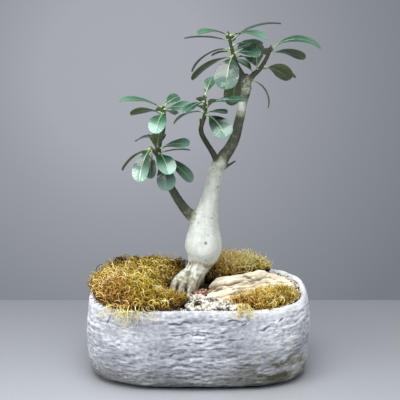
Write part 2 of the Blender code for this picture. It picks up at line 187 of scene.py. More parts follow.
def grid_faces(rows, columns, wrap_rows=False):
    """Quads between neighbouring points of a grid whose columns wrap round."""
    r, c = np.meshgrid(np.arange(rows if wrap_rows else rows - 1), np.arange(columns), indexing="ij")
    up = (r + 1) % rows
    on = (c + 1) % columns
    quads = np.stack([r * columns + c, r * columns + on, up * columns + on, up * columns + c], axis=-1)
    return quads.reshape(-1, 4)


def with_poles(grid, values=None):
    """Points, faces and per-point values of a grid closed at both ends by a pole in the middle."""
    rows, columns = grid.shape[:2]
    points = np.concatenate([grid.reshape(-1, 3), grid[[0, -1]].mean(axis=1)])
    first = rows * columns
    c = np.arange(columns)
    on = (c + 1) % columns
    start = np.stack([np.full(columns, first), on, c], axis=-1)
    top = (rows - 1) * columns
    end = np.stack([np.full(columns, first + 1), top + c, top + on], axis=-1)
    spread = {}
    for name, value in (values or {}).items():
        value = np.broadcast_to(value, (rows, columns))
        spread[name] = np.concatenate([value.ravel(), value[[0, -1]].mean(axis=1)])
    return points, [grid_faces(rows, columns), start, end], spread


def signed_volume(points, faces):
    """The volume inside closed faces, negative where they look inwards."""
    total = 0.0
    for group in faces:
        a = points[group[:, 0]]
        for k in range(1, group.shape[1] - 1):
            crossed = np.cross(points[group[:, k]], points[group[:, k + 1]])
            total += np.einsum("ij,ij->", a, crossed) / 6
    return total


def raw_mesh(name, points, faces):
    """A mesh from an array of points and arrays of three- or four-cornered faces."""
    points = np.ascontiguousarray(points, np.float32)
    corners = np.concatenate([group.ravel() for group in faces]).astype(np.int32)
    sizes = np.concatenate([np.full(len(group), group.shape[1]) for group in faces])
    starts = np.concatenate([[0], np.cumsum(sizes)[:-1]]).astype(np.int32)
    mesh = bpy.data.meshes.new(name)
    mesh.vertices.add(len(points))
    mesh.vertices.foreach_set("co", points.ravel())
    mesh.loops.add(len(corners))
    mesh.loops.foreach_set("vertex_index", corners)
    mesh.polygons.add(len(starts))
    mesh.polygons.foreach_set("loop_start", starts)
    mesh.update(calc_edges=True)
    return mesh


def in_scene(name, data):
    """A new object for a mesh, a light or a camera, linked to the scene."""
    obj = bpy.data.objects.new(name, data)
    bpy.context.scene.collection.objects.link(obj)
    return obj


def piece(name, points, faces, finish, nodes, values=None):
    """Puts a closed shape in the scene, facing out, in place of its CAD nodes."""
    if signed_volume(points, faces) < 0:
        faces = [group[:, ::-1] for group in faces]
    mesh = raw_mesh(name, points, faces)
    mesh.shade_smooth()
    for label, value in (values or {}).items():
        layer = mesh.attributes.new(label, "FLOAT", "POINT")
        layer.data.foreach_set("value", np.asarray(value, np.float32).ravel())
    mesh.materials.append(finish)
    obj = in_scene(name, mesh)
    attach(obj, "root")
    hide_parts(*nodes)
    triangles = sum(len(group) * (group.shape[1] - 2) for group in faces)
    if triangles > WORTH_PRINTING:
        print(f"{name}: {triangles} triangles")


def smooth_path(points, steps):
    """A Catmull-Rom curve through the points, with steps spans between each two."""
    p = np.array([points[0], *points, points[-1]], float)
    p[0] = 2 * p[1] - p[2]
    p[-1] = 2 * p[-2] - p[-3]
    t = (np.arange(steps) / steps)[None, :, None]
    before, here, there, after = (p[k : len(p) - 3 + k, None] for k in range(4))
    bend = 2 * before - 5 * here + 4 * there - after
    twist = -before + 3 * here - 3 * there + after
    curve = (2 * here + (there - before) * t + bend * t**2 + twist * t**3) / 2
    return np.concatenate([curve.reshape(-1, p.shape[1]), p[-2:-1]])


def lengths_along(path):
    """The distance along a path from its first point to each of its points."""
    return np.concatenate([[0], np.cumsum(np.linalg.norm(np.diff(path, axis=0), axis=1))])


def even_spacing(path, count):
    """The same path with its points evenly spaced along its length."""
    along = lengths_along(path)
    places = np.linspace(0, along[-1], count)
    return np.stack([np.interp(places, along, path[:, k]) for k in range(path.shape[1])], axis=-1)


# %% [markdown]
# ## The camera
# The plant is seen from the front and a little above, through a long lens.

# %% Camera
CAMERA_PLACE = (0.00256, -1.4835, 0.7044)
CAMERA_TILT = math.radians(72.5)
LENS = 105.7  # millimetres, as is the sensor's width
SENSOR = 36

camera = in_scene("camera", bpy.data.cameras.new("camera"))
camera.location = CAMERA_PLACE
camera.rotation_euler = (CAMERA_TILT, 0, 0)
camera.data.lens = LENS
camera.data.sensor_width = SENSOR
bpy.context.scene.camera = camera

# %% [markdown]
# ## Cast stone
# The trough is hypertufa: cement, sand and peat packed by hand against a rough mould. It gives the
# eye a dusty, fully matt grey, darker and warmer in colour near the foot. Its colour also carries
# painted light: chalk white on ridges, faces that turn up, the rim, both ends and the upper wall as
# painted highlight, and darker in the grooves and cracks as painted shade. The relief is in the mesh,
# so the finish only has to know the painted tone of each point. That is stored as an attribute and
# read here.


# %% Cast stone finish
def cast_stone():
    """Grey to chalk by the tone stored on each point, which is painted highlight and shade, plus its
    grit, then multiplied by the darker, warmer foot and the stain.
    """
    made, tree = new_finish("cast_stone_hypertufa", Roughness=0.92)
    place = add(tree, "TexCoord", output="Object")
    relief_and_shade, foot, stain = (
        add(tree, "Attribute", output="Fac", attribute_name=name) for name in ("relief_and_shade", "foot", "stain")
    )
    flat = add(tree, "Mapping", {"Vector": place, "Scale": (0.4, 0.4, 1.0)})
    grit = add(tree, "TexNoise", {"Vector": flat, "Scale": per(2.8), "Detail": 6.0, "Roughness": 0.75})
    cloud = add(tree, "TexNoise", {"Vector": place, "Scale": per(45), "Detail": 3.0})
    fine = add(tree, "TexNoise", {"Vector": place, "Scale": per(1.2), "Detail": 4.0})
    speckled = add(tree, "Math", {0: grit, 1: -0.22}, operation="ADD")
    # The stored tone is painted light: paler on ridges and up-facing slopes, darker in grooves and cracks
    height = add(tree, "Math", {0: speckled, 1: 0.9, 2: relief_and_shade}, operation="MULTIPLY_ADD")
    chalk = [(0.15, "#5f6169"), (0.4, "#979aa1"), (0.68, "#b9bcc3"), (1.0, "#eceef1")]
    colour = add(tree, "ValToRGB", {"Fac": height}, chalk)
    colour = darkened(tree, colour, [(cloud, 1.0, [(0.35, "#d9d9da"), (0.65, "#ffffff")])])
    for share, tone in ((foot, "#b4b1a4"), (stain, "#8b8762")):
        mix = {"Fac": share, "Color1": colour, "Color2": tone}
        colour = add(tree, "MixRGB", mix, blend_type="MULTIPLY")
    return dressed(made, colour, fine, 0.35, 0.6)


CAST_STONE = cast_stone()

# %% [markdown]
# ## The trough's wall
# On the real pot the wall is one thick shell, with thin ledges like split slate that come and go
# along its length. A box with a noise texture would only look bumpy. Here the wall is a ring of one
# closed profile carried round a superellipse, and the ledges are a sawtooth of a bent height: each
# layer swells towards its top edge and then drops back, so light from above catches every step.

# %% Trough wall
POT_LENGTH, POT_DEPTH, POT_HEIGHT = np.subtract(*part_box("trough")[::-1])
PLAN_POWER = 3.1  # of the superellipse: 2 is an ellipse, and more is squarer
POT_COLUMNS = 640
OUTSIDE_ROWS = 138

# (inset, height) in millimetres: up the outside, over the rim, down the inside and under the floor
OUTSIDE = [
    (30, 0), (20, 0), (11, 2.5), (5, 8), (1.5, 20), (0, 45), (0, 75), (1.5, 98), (3, 107), (5.5, 112),
    (9, 113), (11.2, 111.5), (12.2, 108),
]
INSIDE = [(13, 60), (16, 28), (26, 16), (36, 14), (40, 12), (40, 2)]
# Cracks in the front of the wall, as (x, z) in millimetres
CRACKS = [
    [(-112, 108), (-115, 99), (-120, 88)],
    [(62, 108), (66, 101), (58, 94)],
    [(-40, 97), (-30, 95), (-18, 97), (-8, 95)],
    [(77, 85), (92, 89), (112, 99)],
    [(33, 99), (46, 101), (58, 99)],
    [(-34, 80), (-12, 83), (8, 79)],
    [(30, 76), (44, 72), (58, 75)],
    [(-62, 52), (-44, 50), (-30, 54)],
]


def plan_angles(count):
    """Angles whose superellipse points are evenly spaced, found from the length of a fine ring."""
    dense = np.linspace(0, 2 * np.pi, 40001)
    along = lengths_along(plan_ring(dense, 0.0))
    return np.interp(np.arange(count) / count * along[-1], along, dense)


def plan_ring(angles, inset):
    """The outline pulled in by inset: x and y are the half sides times cos and sin to 2/power."""
    c, s = np.cos(angles), np.sin(angles)
    x = (POT_LENGTH / 2 - inset) * np.sign(c) * np.abs(c) ** (2 / PLAN_POWER)
    y = (POT_DEPTH / 2 - inset) * np.sign(s) * np.abs(s) ** (2 / PLAN_POWER)
    return np.stack([x, y], axis=-1)


def carried(profile, columns):
    """A grid of points: each (inset, height) of the profile carried round the outline."""
    angles = plan_angles(columns)
    rings = [plan_ring(angles, inset) for inset, _ in profile]
    heights = np.broadcast_to(profile[:, 1, None, None], (len(profile), columns, 1))
    return np.concatenate([np.array(rings), heights], axis=-1)


def grid_normals(grid, wrap_rows=False):
    """Unit normals of a grid whose columns wrap: the cross product of its two directions."""
    on = np.roll(grid, -1, axis=1) - np.roll(grid, 1, axis=1)
    up = np.roll(grid, -1, axis=0) - np.roll(grid, 1, axis=0) if wrap_rows else np.gradient(grid, axis=0)
    return unit(np.cross(on, up))


def ledges(points, thickness, reach, seed):
    """Split layers: a sawtooth of height, bent by noise, whose size changes along each layer."""
    bend = 6 * noise(points, (70, 70, 40), seed)
    bend = bend + 0.7 * thickness * fractal(points, (20, 20, 9), 2, seed + 1)
    level = (points[..., 2] / MM + bend) / thickness
    layer = np.floor(level)
    share = level - layer
    tooth = np.where(share < 0.75, (share / 0.75) ** 1.5, (1 - share) / 0.25)
    along = np.stack([points[..., 0], points[..., 1], layer * 40 * MM], axis=-1)
    strength = smooth_step(fractal(along, (reach, reach, 40), 2, seed + 2), -0.15, 0.45)
    return tooth * strength


def spread_out(height, reach):
    """The mean of a wrapped grid's values over a square of reach cells either way."""
    for axis in (0, 1):
        height = sum(np.roll(height, k, axis) for k in range(-reach, reach + 1)) / (2 * reach + 1)
    return height


def crack_depth(points):
    """Up to 1 on a crack's broken line in the front wall, and 0 from 1.7 mm away."""
    deepest = np.zeros(points.shape[:2])
    x = points[..., 0] / MM + 2.5 * fractal(points, 7, 2, 91)
    z = points[..., 2] / MM + 2.2 * noise(points, 6, 93)
    for line in CRACKS:
        for (x0, z0), (x1, z1) in zip(line, line[1:]):
            length = (x1 - x0) ** 2 + (z1 - z0) ** 2
            t = np.clip(((x - x0) * (x1 - x0) + (z - z0) * (z1 - z0)) / length, 0, 1)
            away = np.hypot(x - x0 - t * (x1 - x0), z - z0 - t * (z1 - z0))
            deepest = np.maximum(deepest, 1 - smooth_step(away, 0.2, 1.7))
    broken = smooth_step(fractal(points, (11, 11, 5), 2, 97), -0.35, 0.25)
    return deepest * broken * (points[..., 1] < -40 * MM)


def build_wall():
    """The profile carried round, pushed out by the sum of its layers, chips and cracks."""
    outside = even_spacing(smooth_path(np.array(OUTSIDE, float), 12), OUTSIDE_ROWS)
    profile = np.concatenate([outside, np.array(INSIDE, float)]) * MM
    grid = carried(profile, POT_COLUMNS)
    x, z = grid[..., 0], grid[..., 2] / MM
    rim = smooth_step(z, 100, 111)
    foot = 1 - smooth_step(z, 3, 14)
    rows = np.arange(len(profile))[:, None]
    last = OUTSIDE_ROWS - 1
    shown = smooth_step(rows, 2, 12) * (1 - smooth_step(rows, last - 3, last))
    lean = np.stack([x, grid[..., 1], grid[..., 2] - 0.35 * x], -1)
    cracks = crack_depth(grid)
    # Each kind of roughness, after the most it stands out in millimetres
    ledge = (
        0.7 * ledges(grid, 9.5, 24, 11)
        + 0.5 * ledges(grid, 5.0, 12, 23)
        + 0.7 * creased(grid, (22, 22, 7), 4, 37)
        + 0.8 * fractal(grid, (8, 8, 3), 3, 39)
        + 0.5 * creased(lean, (60, 60, 10), 3, 43)
        + 0.7 * creased(grid, (16, 16, 2.8), 3, 53)
    )
    calm = 0.15 + 0.85 * smooth_step(fractal(grid, (55, 55, 26), 2, 47), -0.35, 0.3)
    height = ledge * calm * (1 - 0.62 * rim) * (1 - 0.5 * foot)
    height = height + 1.1 * noise(grid, (62, 62, 34), 5) - 1.5 * cracks
    height = height + 0.5 * fractal(grid, 3.2, 2, 71) + 0.8 * rim * fractal(grid, 13, 3, 77) - 1.0
    grid = grid + grid_normals(grid, wrap_rows=True) * (height * shown * MM)[..., None]
    grid[..., 2] = np.maximum(grid[..., 2], 0)

    # What the finish needs to know: a patchy tone that is paler on what stands proud, on faces that turn
    # up, at the rim, at both ends and towards the top, and darker in grooves and cracks, all painted
    # highlight and shade; a darker, warmer band at the foot; and a stain at one end
    x, y, z = (grid[..., k] / MM for k in range(3))
    proud = height - spread_out(height, 4)
    falling = np.gradient(height, axis=0)
    # Painted highlight and shade: paler where the wall stands proud or turns up and at the rim, darker in
    # grooves
    relief_and_shade = 0.26 + np.where(proud < 0, 0.42, 0.17) * proud - 0.12 * falling + 0.25 * rim
    relief_and_shade = relief_and_shade + 0.1 * (height - spread_out(height, 12)) + 0.2 * fractal(grid, (50, 50, 15), 3, 89)
    # Painted light: paler towards both ends and towards the top
    relief_and_shade = relief_and_shade + 0.17 * smooth_step(np.abs(x), 60, 120) + 0.15 * smooth_step(z, 40, 100)
    # Darker and warmer towards the foot
    foot_band = 1 - smooth_step(z + 9 * noise(grid, 30, 61), 12, 44)
    spot = np.exp(-(((x - 108) / 46) ** 2) - ((z - 26) / 28) ** 2)
    stain = 1.3 * spot * (y < 0) * smooth_step(fractal(grid, (16, 16, 9), 4, 83), -0.5, 0.3)
    # The cracks are painted darker, as shade inside them
    values = {
        "relief_and_shade": np.clip(relief_and_shade - 0.2 * cracks, 0, 1),
        "foot": 0.75 * foot_band,
        "stain": np.minimum(stain, 1),
    }
    faces = [grid_faces(len(profile), POT_COLUMNS, wrap_rows=True)]
    piece("trough_wall", grid.reshape(-1, 3), faces, CAST_STONE, ["trough"], values)


build_wall()

# %% [markdown]
# ## The trough's floor
# The floor has two drain holes, so it isn't a plain disc. Each half of the floor is a grid between
# its hole's circle and its half of the outline: out along the underside, and back along the top.
# The two halves share the points of the middle line, which are merged.

# %% Trough floor
FLOOR_THICKNESS = 14 * MM
FLOOR_COLUMNS = 96
RAY_REACH = 200 * MM  # well past the outline
DRAIN_RADIUS = 9 * MM
DRAIN_OFFSET = 75 * MM
FLOOR_INSET = 38 * MM  # its edge is buried in the wall's foot
FLOOR_LIFT = 0.3 * MM
FLOOR_TONES = {"relief_and_shade": 0.5, "foot": 0.5, "stain": 0.0}


def half_floor(side):
    """(points, faces) of the floor on one side of the middle: rays from the hole to the outline."""
    count = FLOOR_COLUMNS
    angles = np.arange(count) / count * 2 * np.pi
    circle = np.stack([np.cos(angles), np.sin(angles)], axis=-1)
    reach = np.linspace(DRAIN_RADIUS, RAY_REACH, 4000)[None, :, None]
    rays = circle[:, None] * reach + np.array([DRAIN_OFFSET, 0])
    half = np.array([POT_LENGTH / 2 - FLOOR_INSET, POT_DEPTH / 2 - FLOOR_INSET])
    inside = (np.abs(rays / half) ** PLAN_POWER).sum(axis=-1) < 1
    inside &= rays[..., 0] > 0
    last = inside.sum(axis=1) - 1
    edge = rays[np.arange(count), last]
    edge[:, 0] = np.where(edge[:, 0] < 0.2 * MM, 0, edge[:, 0])
    hole = circle * DRAIN_RADIUS + np.array([DRAIN_OFFSET, 0])
    rows = []
    for z, order in ((FLOOR_LIFT, (0, 0.5, 1)), (FLOOR_THICKNESS - FLOOR_LIFT, (1, 0.5, 0))):
        for share in order:
            ring = edge + (hole - edge) * share
            rows.append(np.column_stack([ring * (side, 1), np.full(count, z)]))
    points = np.concatenate(rows)
    faces = grid_faces(len(rows), count)
    c = np.arange(count)
    on = (c + 1) % count
    rim = np.stack([(len(rows) - 1) * count + c, (len(rows) - 1) * count + on, on, c], axis=-1)
    outer = ~((edge[c, 0] == 0) & (edge[on, 0] == 0))
    faces = np.concatenate([faces, rim[outer]])
    return points, faces if side > 0 else faces[:, ::-1]


def build_floor():
    """Both halves, with points that round to the same hundredth of a millimetre merged."""
    right, right_faces = half_floor(1)
    left, left_faces = half_floor(-1)
    points = np.concatenate([right, left])
    faces = np.concatenate([right_faces, left_faces + len(right)])
    keys = np.round(points / (0.01 * MM)).astype(np.int64)
    _, first, where = np.unique(keys, axis=0, return_index=True, return_inverse=True)
    points, faces = points[first], where.ravel()[faces]
    values = {name: np.full(len(points), level) for name, level in FLOOR_TONES.items()}
    piece("trough_floor", points, [faces], CAST_STONE, ["trough"], values)


build_floor()

# %% [markdown]
# ## Potting mix
# The mix fills the trough and mostly hides under the moss, the rock and the gravel. Pumice, bark and
# peat crumbs give the eye a near-black brown that is coarse and never shines. It is one closed form:
# a plain skin against the wall, and a lumpy top.


# %% Potting mix
SOIL_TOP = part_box("potting_mix")[1][2]
SOIL_COLUMNS = 260


def crumbly_soil():
    """Browns picked by the mean of flat-coloured crumbs and a fine grain."""
    made, tree = new_finish("peat_and_bark_potting_mix", Roughness=0.95, Specular_IOR_Level=0.2)
    place = add(tree, "TexCoord", output="Object")
    crumbs = add(tree, "TexVoronoi", {"Vector": place, "Scale": per(3.2)}, output="Color")
    grain = add(tree, "TexNoise", {"Vector": place, "Scale": per(1.6), "Detail": 4.0})
    mixed = add(tree, "MixRGB", {"Fac": 0.5, "Color1": crumbs, "Color2": grain})
    peat = [(0.3, "#1d140d"), (0.5, "#3a2a1c"), (0.66, "#5c4733"), (0.82, "#a08f78")]
    return dressed(made, add(tree, "ValToRGB", {"Fac": mixed}, peat), grain, 0.8, 1.2)


def build_soil():
    """Rings from the middle of the base, up the trough's inside and back in across the top."""
    side = np.array([(36.4, 14.4), (26.4, 16.4), (16.4, 28.4), (13.4, 60.4), (12.6, 100)]) * MM
    under = np.stack([np.linspace(85, 40, 6), np.full(6, 14.4)], axis=-1) * MM
    inward = (12.9 + 75 * np.linspace(0, 1, 64) ** 1.05) * MM
    top = np.stack([inward, np.full(64, SOIL_TOP)], axis=-1)
    grid = carried(np.concatenate([under, side, top]), SOIL_COLUMNS)
    rows = np.arange(len(grid))[:, None]
    lumps = 1.6 * fractal(grid, 9, 3, 201) * smooth_step(rows, 10, 15)
    grid[..., 2] += (lumps - 1.2 * smooth_step(rows, 10, 12)) * MM
    points, faces, _ = with_poles(grid)
    piece("potting_mix_crumb", points, faces, crumbly_soil(), ["potting_mix"])


build_soil()

# %% [markdown]
# ## The trunk
# The caudex, its roots and its stems grew as one skin, so nothing may show where they meet. Tubes
# that merely cross would leave creases. Each limb is a round tapering tube along its own curve with
# a flare at its base, and a voxel remesh fuses them into a single skin. Smoothing then fills every
# fork the way a growing tree does: strongly on the thick limbs and hardly at all on the thin shoots.

# %% Limb stations
# (x, y, z, radius) in millimetres, from each limb's root end to its tip, as in the CAD model
LIMBS = {
    "caudex": [
        (0, 8, 136, 13), (2.5, 11, 145, 17.5), (5.5, 12, 154, 22), (7, 12, 165, 25.4), (7.5, 12, 178, 24),
        (8, 12, 190, 21.2), (9, 12, 204, 18.4), (12, 12, 218, 15.2), (15.5, 12, 232, 12.4),
        (19, 12, 252, 11), (23.5, 12, 272, 10.3), (28, 12, 286, 9.8),
    ],
    "right_stem": [
        (26, 12, 280, 9.2), (34, 14, 293, 8.4), (41, 16, 302, 7.7), (49, 20, 317, 7),
        (53.5, 24, 336, 6.4), (57, 27, 351, 6), (60, 30, 365, 6), (63, 32, 379, 6.4),
        (64, 33, 389, 6.8), (63, 33, 396, 4.6),
    ],
    "crown_left": [
        (62, 32, 388, 4.2), (55.5, 27, 403, 3.6), (50, 23, 414, 3.1), (46, 20, 426, 2.8),
        (43, 18, 438, 2.5), (40.5, 17, 448, 2.2), (38.5, 16, 457, 1.7),
    ],
    "crown_right": [
        (65, 33, 389, 4), (74, 38, 398, 3.4), (82, 42, 405, 3.1), (88, 45, 414, 2.8),
        (92.5, 47, 423, 2.5), (96, 48, 433, 1.8),
    ],
    "middle": [
        (27, 10, 284, 4.8), (19.5, 4, 300, 3.9), (10.5, -4, 317, 3.5), (5, -10, 329, 3.4),
        (4, -13, 339, 3.1), (7.5, -17, 351, 2.8), (9.5, -20, 362, 2.6), (9, -22, 373, 2.3),
        (7.5, -24, 383, 1.7),
    ],
    "middle_stub": [(4.2, -12, 335, 2), (3.2, -11, 349, 1.6)],
    "twig": [(32, 12, 276, 2.4), (41, 12, 281.5, 1.7), (49, 11, 287, 1.1)],
    "left": [
        (0, 12, 204, 7.4), (-14, 9, 217, 6.4), (-23.5, 5, 231, 5.9), (-31, 1, 245, 5.5),
        (-38, -2, 260, 5.2), (-44.5, -5, 277, 4.8), (-49.5, -8, 293, 4.4), (-52, -10, 305, 4.1),
        (-50, -11, 318, 3.5), (-46, -12, 330, 3.1), (-44, -13, 343, 2.8), (-43.5, -14, 357, 2.4),
        (-45, -15, 367, 1.8),
    ],
    "left_low": [(-50.5, -9, 299, 3.3), (-57, -14, 307, 2.7), (-62, -19, 314, 1.9)],
    "left_stub": [(-52, -9, 309, 2), (-58, -7, 318, 1.8), (-64, -5, 327, 1.5)],
    "root_main": [
        (7, 12, 151, 17), (1.5, 5, 140, 14), (-4, -2, 130, 12), (-7.5, -7, 121, 10.5),
        (-10, -11, 111, 8.5), (-12, -14, 100, 5.5),
    ],
    "root_left": [
        (-4, 4, 138, 11), (-15, 0, 130, 10), (-25, -4, 123, 9), (-32, -7, 114, 7.5),
        (-35, -9, 104, 5.5),
    ],
    "root_toe": [(-12, -2, 130, 8), (-20, -8, 120, 8), (-23, -12, 110, 6.5), (-24, -14, 101, 5)],
    "root_back": [(10, 20, 150, 11), (11, 31, 137, 8.6), (12, 41, 122, 6.8), (13, 46, 106, 5)],
    "taproot": [(5, 15, 145, 13), (2, 17, 128, 9.5), (0, 19, 110, 7.5), (0, 19, 90, 6)],
}
# How old each limb's skin is at its base and at its tip: 0 is pale caudex skin, 1 is olive-brown
# bark and 2 is a green shoot
SKIN = {
    "caudex": (-0.15, 0.35),
    "right_stem": (0.75, 0.95),
    "crown_left": (1.0, 1.55),
    "crown_right": (1.0, 1.3),
    "middle": (0.9, 1.6),
    "middle_stub": (1.2, 1.6),
    "twig": (0.9, 1.0),
    "left": (0.7, 1.5),
    "left_low": (1.2, 1.9),
    "left_stub": (1.1, 1.3),
}
PALE_PATCH = (57, 24, 358)  # where the right stem's skin is paler
CROWN_FORK = (62, 32, 386)  # where it is knobbly and mottled
FLARE = {
    "right_stem": 0.1, "crown_left": 0.35, "crown_right": 0.35, "middle": 0.25, "left": 0.5,
    "left_low": 0.3, "twig": 0.4,
}
# Creases between the roots' toes: (x, y, z) from, (x, y, z) to, width and depth, in millimetres
CREASES = [
    ((-14, -6, 129), (-16.5, -20, 107), 1.7, 4.6),
    ((-27, -10, 124), (-29, -17, 108), 1.7, 4.0),
    ((-13, 2, 146), (-19, 4, 137), 2.4, 3.0),
    ((4, -8, 137), (-3, -18, 118), 1.0, 0.7),
]
# Dark round marks on the skin, as (x, y, z, radius) in millimetres
MARKS = [(10.5, -12, 180, 2.0), (17, -9, 169, 1.0), (2, -11, 153, 0.8), (14, -5, 154, 0.8)]


def limb_path(name):
    """A limb's smooth curve in metres, as (x, y, z, radius) rows."""
    return smooth_path(np.array(LIMBS[name], float) * MM, 8)


# %% Trunk surface
VOXEL = 0.8 * MM
SMOOTHING = 14  # rounds, for the shape
AGE_SMOOTHING = 22
HOLLOW_SMOOTHING = 5
LIMB_ROWS = 40
LIMB_COLUMNS = 24
CAP_TURNS = np.radians((35, 65, 85))


def limb_tube(name):
    """A closed tube: a circle of the limb's radius at each place, flared at its base, round ends."""
    path = even_spacing(limb_path(name), LIMB_ROWS)
    centres, radii = path[:, :3], path[:, 3].copy()
    along = np.linspace(0, lengths_along(centres)[-1], LIMB_ROWS)
    radii *= 1 + FLARE.get(name, 0) * np.exp(-along / (1.7 * radii[0]))
    back, ahead = unit(centres[0] - centres[1]), unit(centres[-1] - centres[-2])
    out, fall = np.sin(CAP_TURNS)[:, None], np.cos(CAP_TURNS)
    start, end = centres[0] + back * radii[0] * out[::-1], centres[-1] + ahead * radii[-1] * out
    centres = np.concatenate([start, centres, end])
    radii = np.concatenate([radii[0] * fall[::-1], radii, radii[-1] * fall])
    tangent = unit(np.gradient(centres, axis=0))
    normal = unit(np.cross(tangent, (0.05, 1.0, 0.02)))
    side = np.cross(tangent, normal)
    turn = (np.arange(LIMB_COLUMNS) / LIMB_COLUMNS * 2 * np.pi)[None, :, None]
    ring = normal[:, None] * np.cos(turn) + side[:, None] * np.sin(turn)
    points, faces, _ = with_poles(centres[:, None] + ring * radii[:, None, None])
    if signed_volume(points, faces) < 0:
        faces = [group[:, ::-1] for group in faces]
    return points, faces


def remeshed(points, faces):
    """The outer skin of overlapping closed shapes, by a voxel remesh: its points and quads."""
    mesh = raw_mesh("limbs", points, faces)
    source = in_scene("limbs", mesh)
    modifier = source.modifiers.new("skin", "REMESH")
    modifier.mode = "VOXEL"
    modifier.voxel_size = VOXEL
    evaluated = source.evaluated_get(bpy.context.evaluated_depsgraph_get()).to_mesh()
    skin = np.empty(len(evaluated.vertices) * 3, np.float32)
    evaluated.vertices.foreach_get("co", skin)
    quads = np.empty(len(evaluated.loops), np.int32)
    evaluated.loops.foreach_get("vertex_index", quads)
    source.to_mesh_clear()
    bpy.data.objects.remove(source)
    bpy.data.meshes.remove(mesh)
    return skin.reshape(-1, 3).astype(float), quads.reshape(-1, 4)


def neighbour_mean(values, quads, count):
    """Each point's mean over the points that share a face edge with it."""
    a = quads.ravel()
    b = np.roll(quads, -1, axis=1).ravel()
    ends, others = np.concatenate([a, b]), np.concatenate([b, a])
    total = np.stack([np.bincount(ends, values[others, k], count) for k in range(values.shape[1])], -1)
    return total / np.bincount(ends, minlength=count)[:, None]


def nearest_limb(points):
    """For each point, the radius and the skin's age at the nearest place on any limb's surface."""
    stations = []
    for name in LIMBS:
        path = even_spacing(limb_path(name), 30)
        stations.append(np.column_stack([path, np.linspace(*SKIN.get(name, (0, 0)), 30)]))
    stations = np.concatenate(stations)
    radii, ages = stations[:, 3], stations[:, 4]
    nearest = []
    for chunk in np.array_split(points, 40):
        away = np.linalg.norm(chunk[:, None] - stations[:, :3], axis=-1) - radii
        nearest.append(away.argmin(axis=1))
    nearest = np.concatenate(nearest)
    return radii[nearest], ages[nearest]


def point_normals(points, quads):
    """Unit normals at the points: the sum of the normals of the faces that meet there."""
    a, b, c, d = (points[quads[:, k]] for k in range(4))
    spread = np.repeat(np.cross(c - a, d - b), 4, axis=0)
    total = np.stack([np.bincount(quads.ravel(), spread[:, k], len(points)) for k in range(3)], axis=-1)
    return unit(total)


def crease_depth(points):
    """How deep the creases cut, in millimetres: each is a bell curve of the distance to its line."""
    cut = np.zeros(len(points))
    for start, end, width, depth in CREASES:
        start, end = np.array(start) * MM, np.array(end) * MM
        t = np.clip((points - start) @ (end - start) / ((end - start) @ (end - start)), 0, 1)
        away = np.linalg.norm(points - start - t[:, None] * (end - start), axis=1) / MM
        cut = np.maximum(cut, depth * np.exp(-((away / width) ** 2)))
    return cut


def near(points, place, reach):
    """A bell curve: 1 at a place in millimetres, and 1/e at reach millimetres from it."""
    return np.exp(-np.sum(((points / MM - np.array(place)) / reach) ** 2, axis=1))


def averaged(values, quads, times):
    """One value per point, averaged with its neighbours again and again."""
    values = values[:, None]
    for _ in range(times):
        values = neighbour_mean(values, quads, len(values))
    return values[:, 0]


def build_trunk(finish):
    """The limbs fused, smoothed by their thickness, and then swollen, ringed, knobbled and creased."""
    parts, groups, offset = [], [], 0
    for name in LIMBS:
        points, faces = limb_tube(name)
        parts.append(points)
        groups += [group + offset for group in faces]
        offset += len(points)
    skin, quads = remeshed(np.concatenate(parts), groups)
    radius, age = nearest_limb(skin)
    give = np.clip((radius / MM - 1.2) / 5, 0.06, 0.95)
    give *= 1 - 0.72 * (1 - smooth_step(skin[:, 2], 128 * MM, 150 * MM))
    for _ in range(SMOOTHING):
        skin += give[:, None] * (neighbour_mean(skin, quads, len(skin)) - skin)

    z = skin[:, 2] / MM
    fork = near(skin, CROWN_FORK, 13)
    age = averaged(age, quads, AGE_SMOOTHING) - 0.6 * near(skin, PALE_PATCH, 11)
    age = age - 0.55 * fork * smooth_step(fractal(skin, 6, 3, 347), -0.4, 0.2)
    pale = 1 - smooth_step(age, 0.2, 0.8)
    neck = smooth_step(z, 185, 205) * pale
    # Each kind of roughness, after the most it stands out in millimetres
    height = (
        0.7 * noise(skin, 15, 301) * np.clip(radius / (20 * MM), 0.12, 1)
        + 0.16 * noise(skin, (26, 26, 2.6), 311) * (0.3 + neck)
        + 0.12 * noise(skin, (2.6, 2.6, 30), 317) * pale
        + 0.9 * fractal(skin, 7.5, 3, 321) * (1 - smooth_step(z, 135, 160))
        - crease_depth(skin)
        + 0.5 * np.abs(fractal(skin, 3.2, 2, 331)) * smooth_step(age, 0.5, 1.0)
        * np.clip(radius / (5 * MM), 0.2, 1)
        + 2.8 * fork * fractal(skin, 5, 3, 337)
    )
    skin = skin + point_normals(skin, quads) * (height * MM)[:, None]

    # How hollow the skin is, which the finish uses to paint shade into creases and forks
    inwards = neighbour_mean(skin, quads, len(skin)) - skin
    hollow = np.einsum("ij,ij->i", inwards, point_normals(skin, quads)) / VOXEL
    hollow = averaged(hollow, quads, HOLLOW_SMOOTHING)
    mark = np.zeros(len(skin))
    for *place, size in MARKS:
        away = np.linalg.norm(skin - np.array(place) * MM, axis=1) / (size * MM)
        mark = np.maximum(mark, 1 - smooth_step(away + 0.4 * noise(skin, 1.6, 341), 0.6, 1.6))
    values = {"age": age, "hollow": np.clip(hollow * 9, -1, 1), "mark": mark}
    piece("trunk_skin", skin, [quads], finish, ["caudex_trunk"], values)


# %% [markdown]
# ## Bark
# Adenium skin is thin and smooth, not corky. The caudex gives the eye a chalky off-white with a soft
# sheen, faint rings where it swelled, and dark pin-sized specks. Older stems are olive-brown and
# matt, and new shoots are yellow-green. The age attribute from the limbs picks between the three.


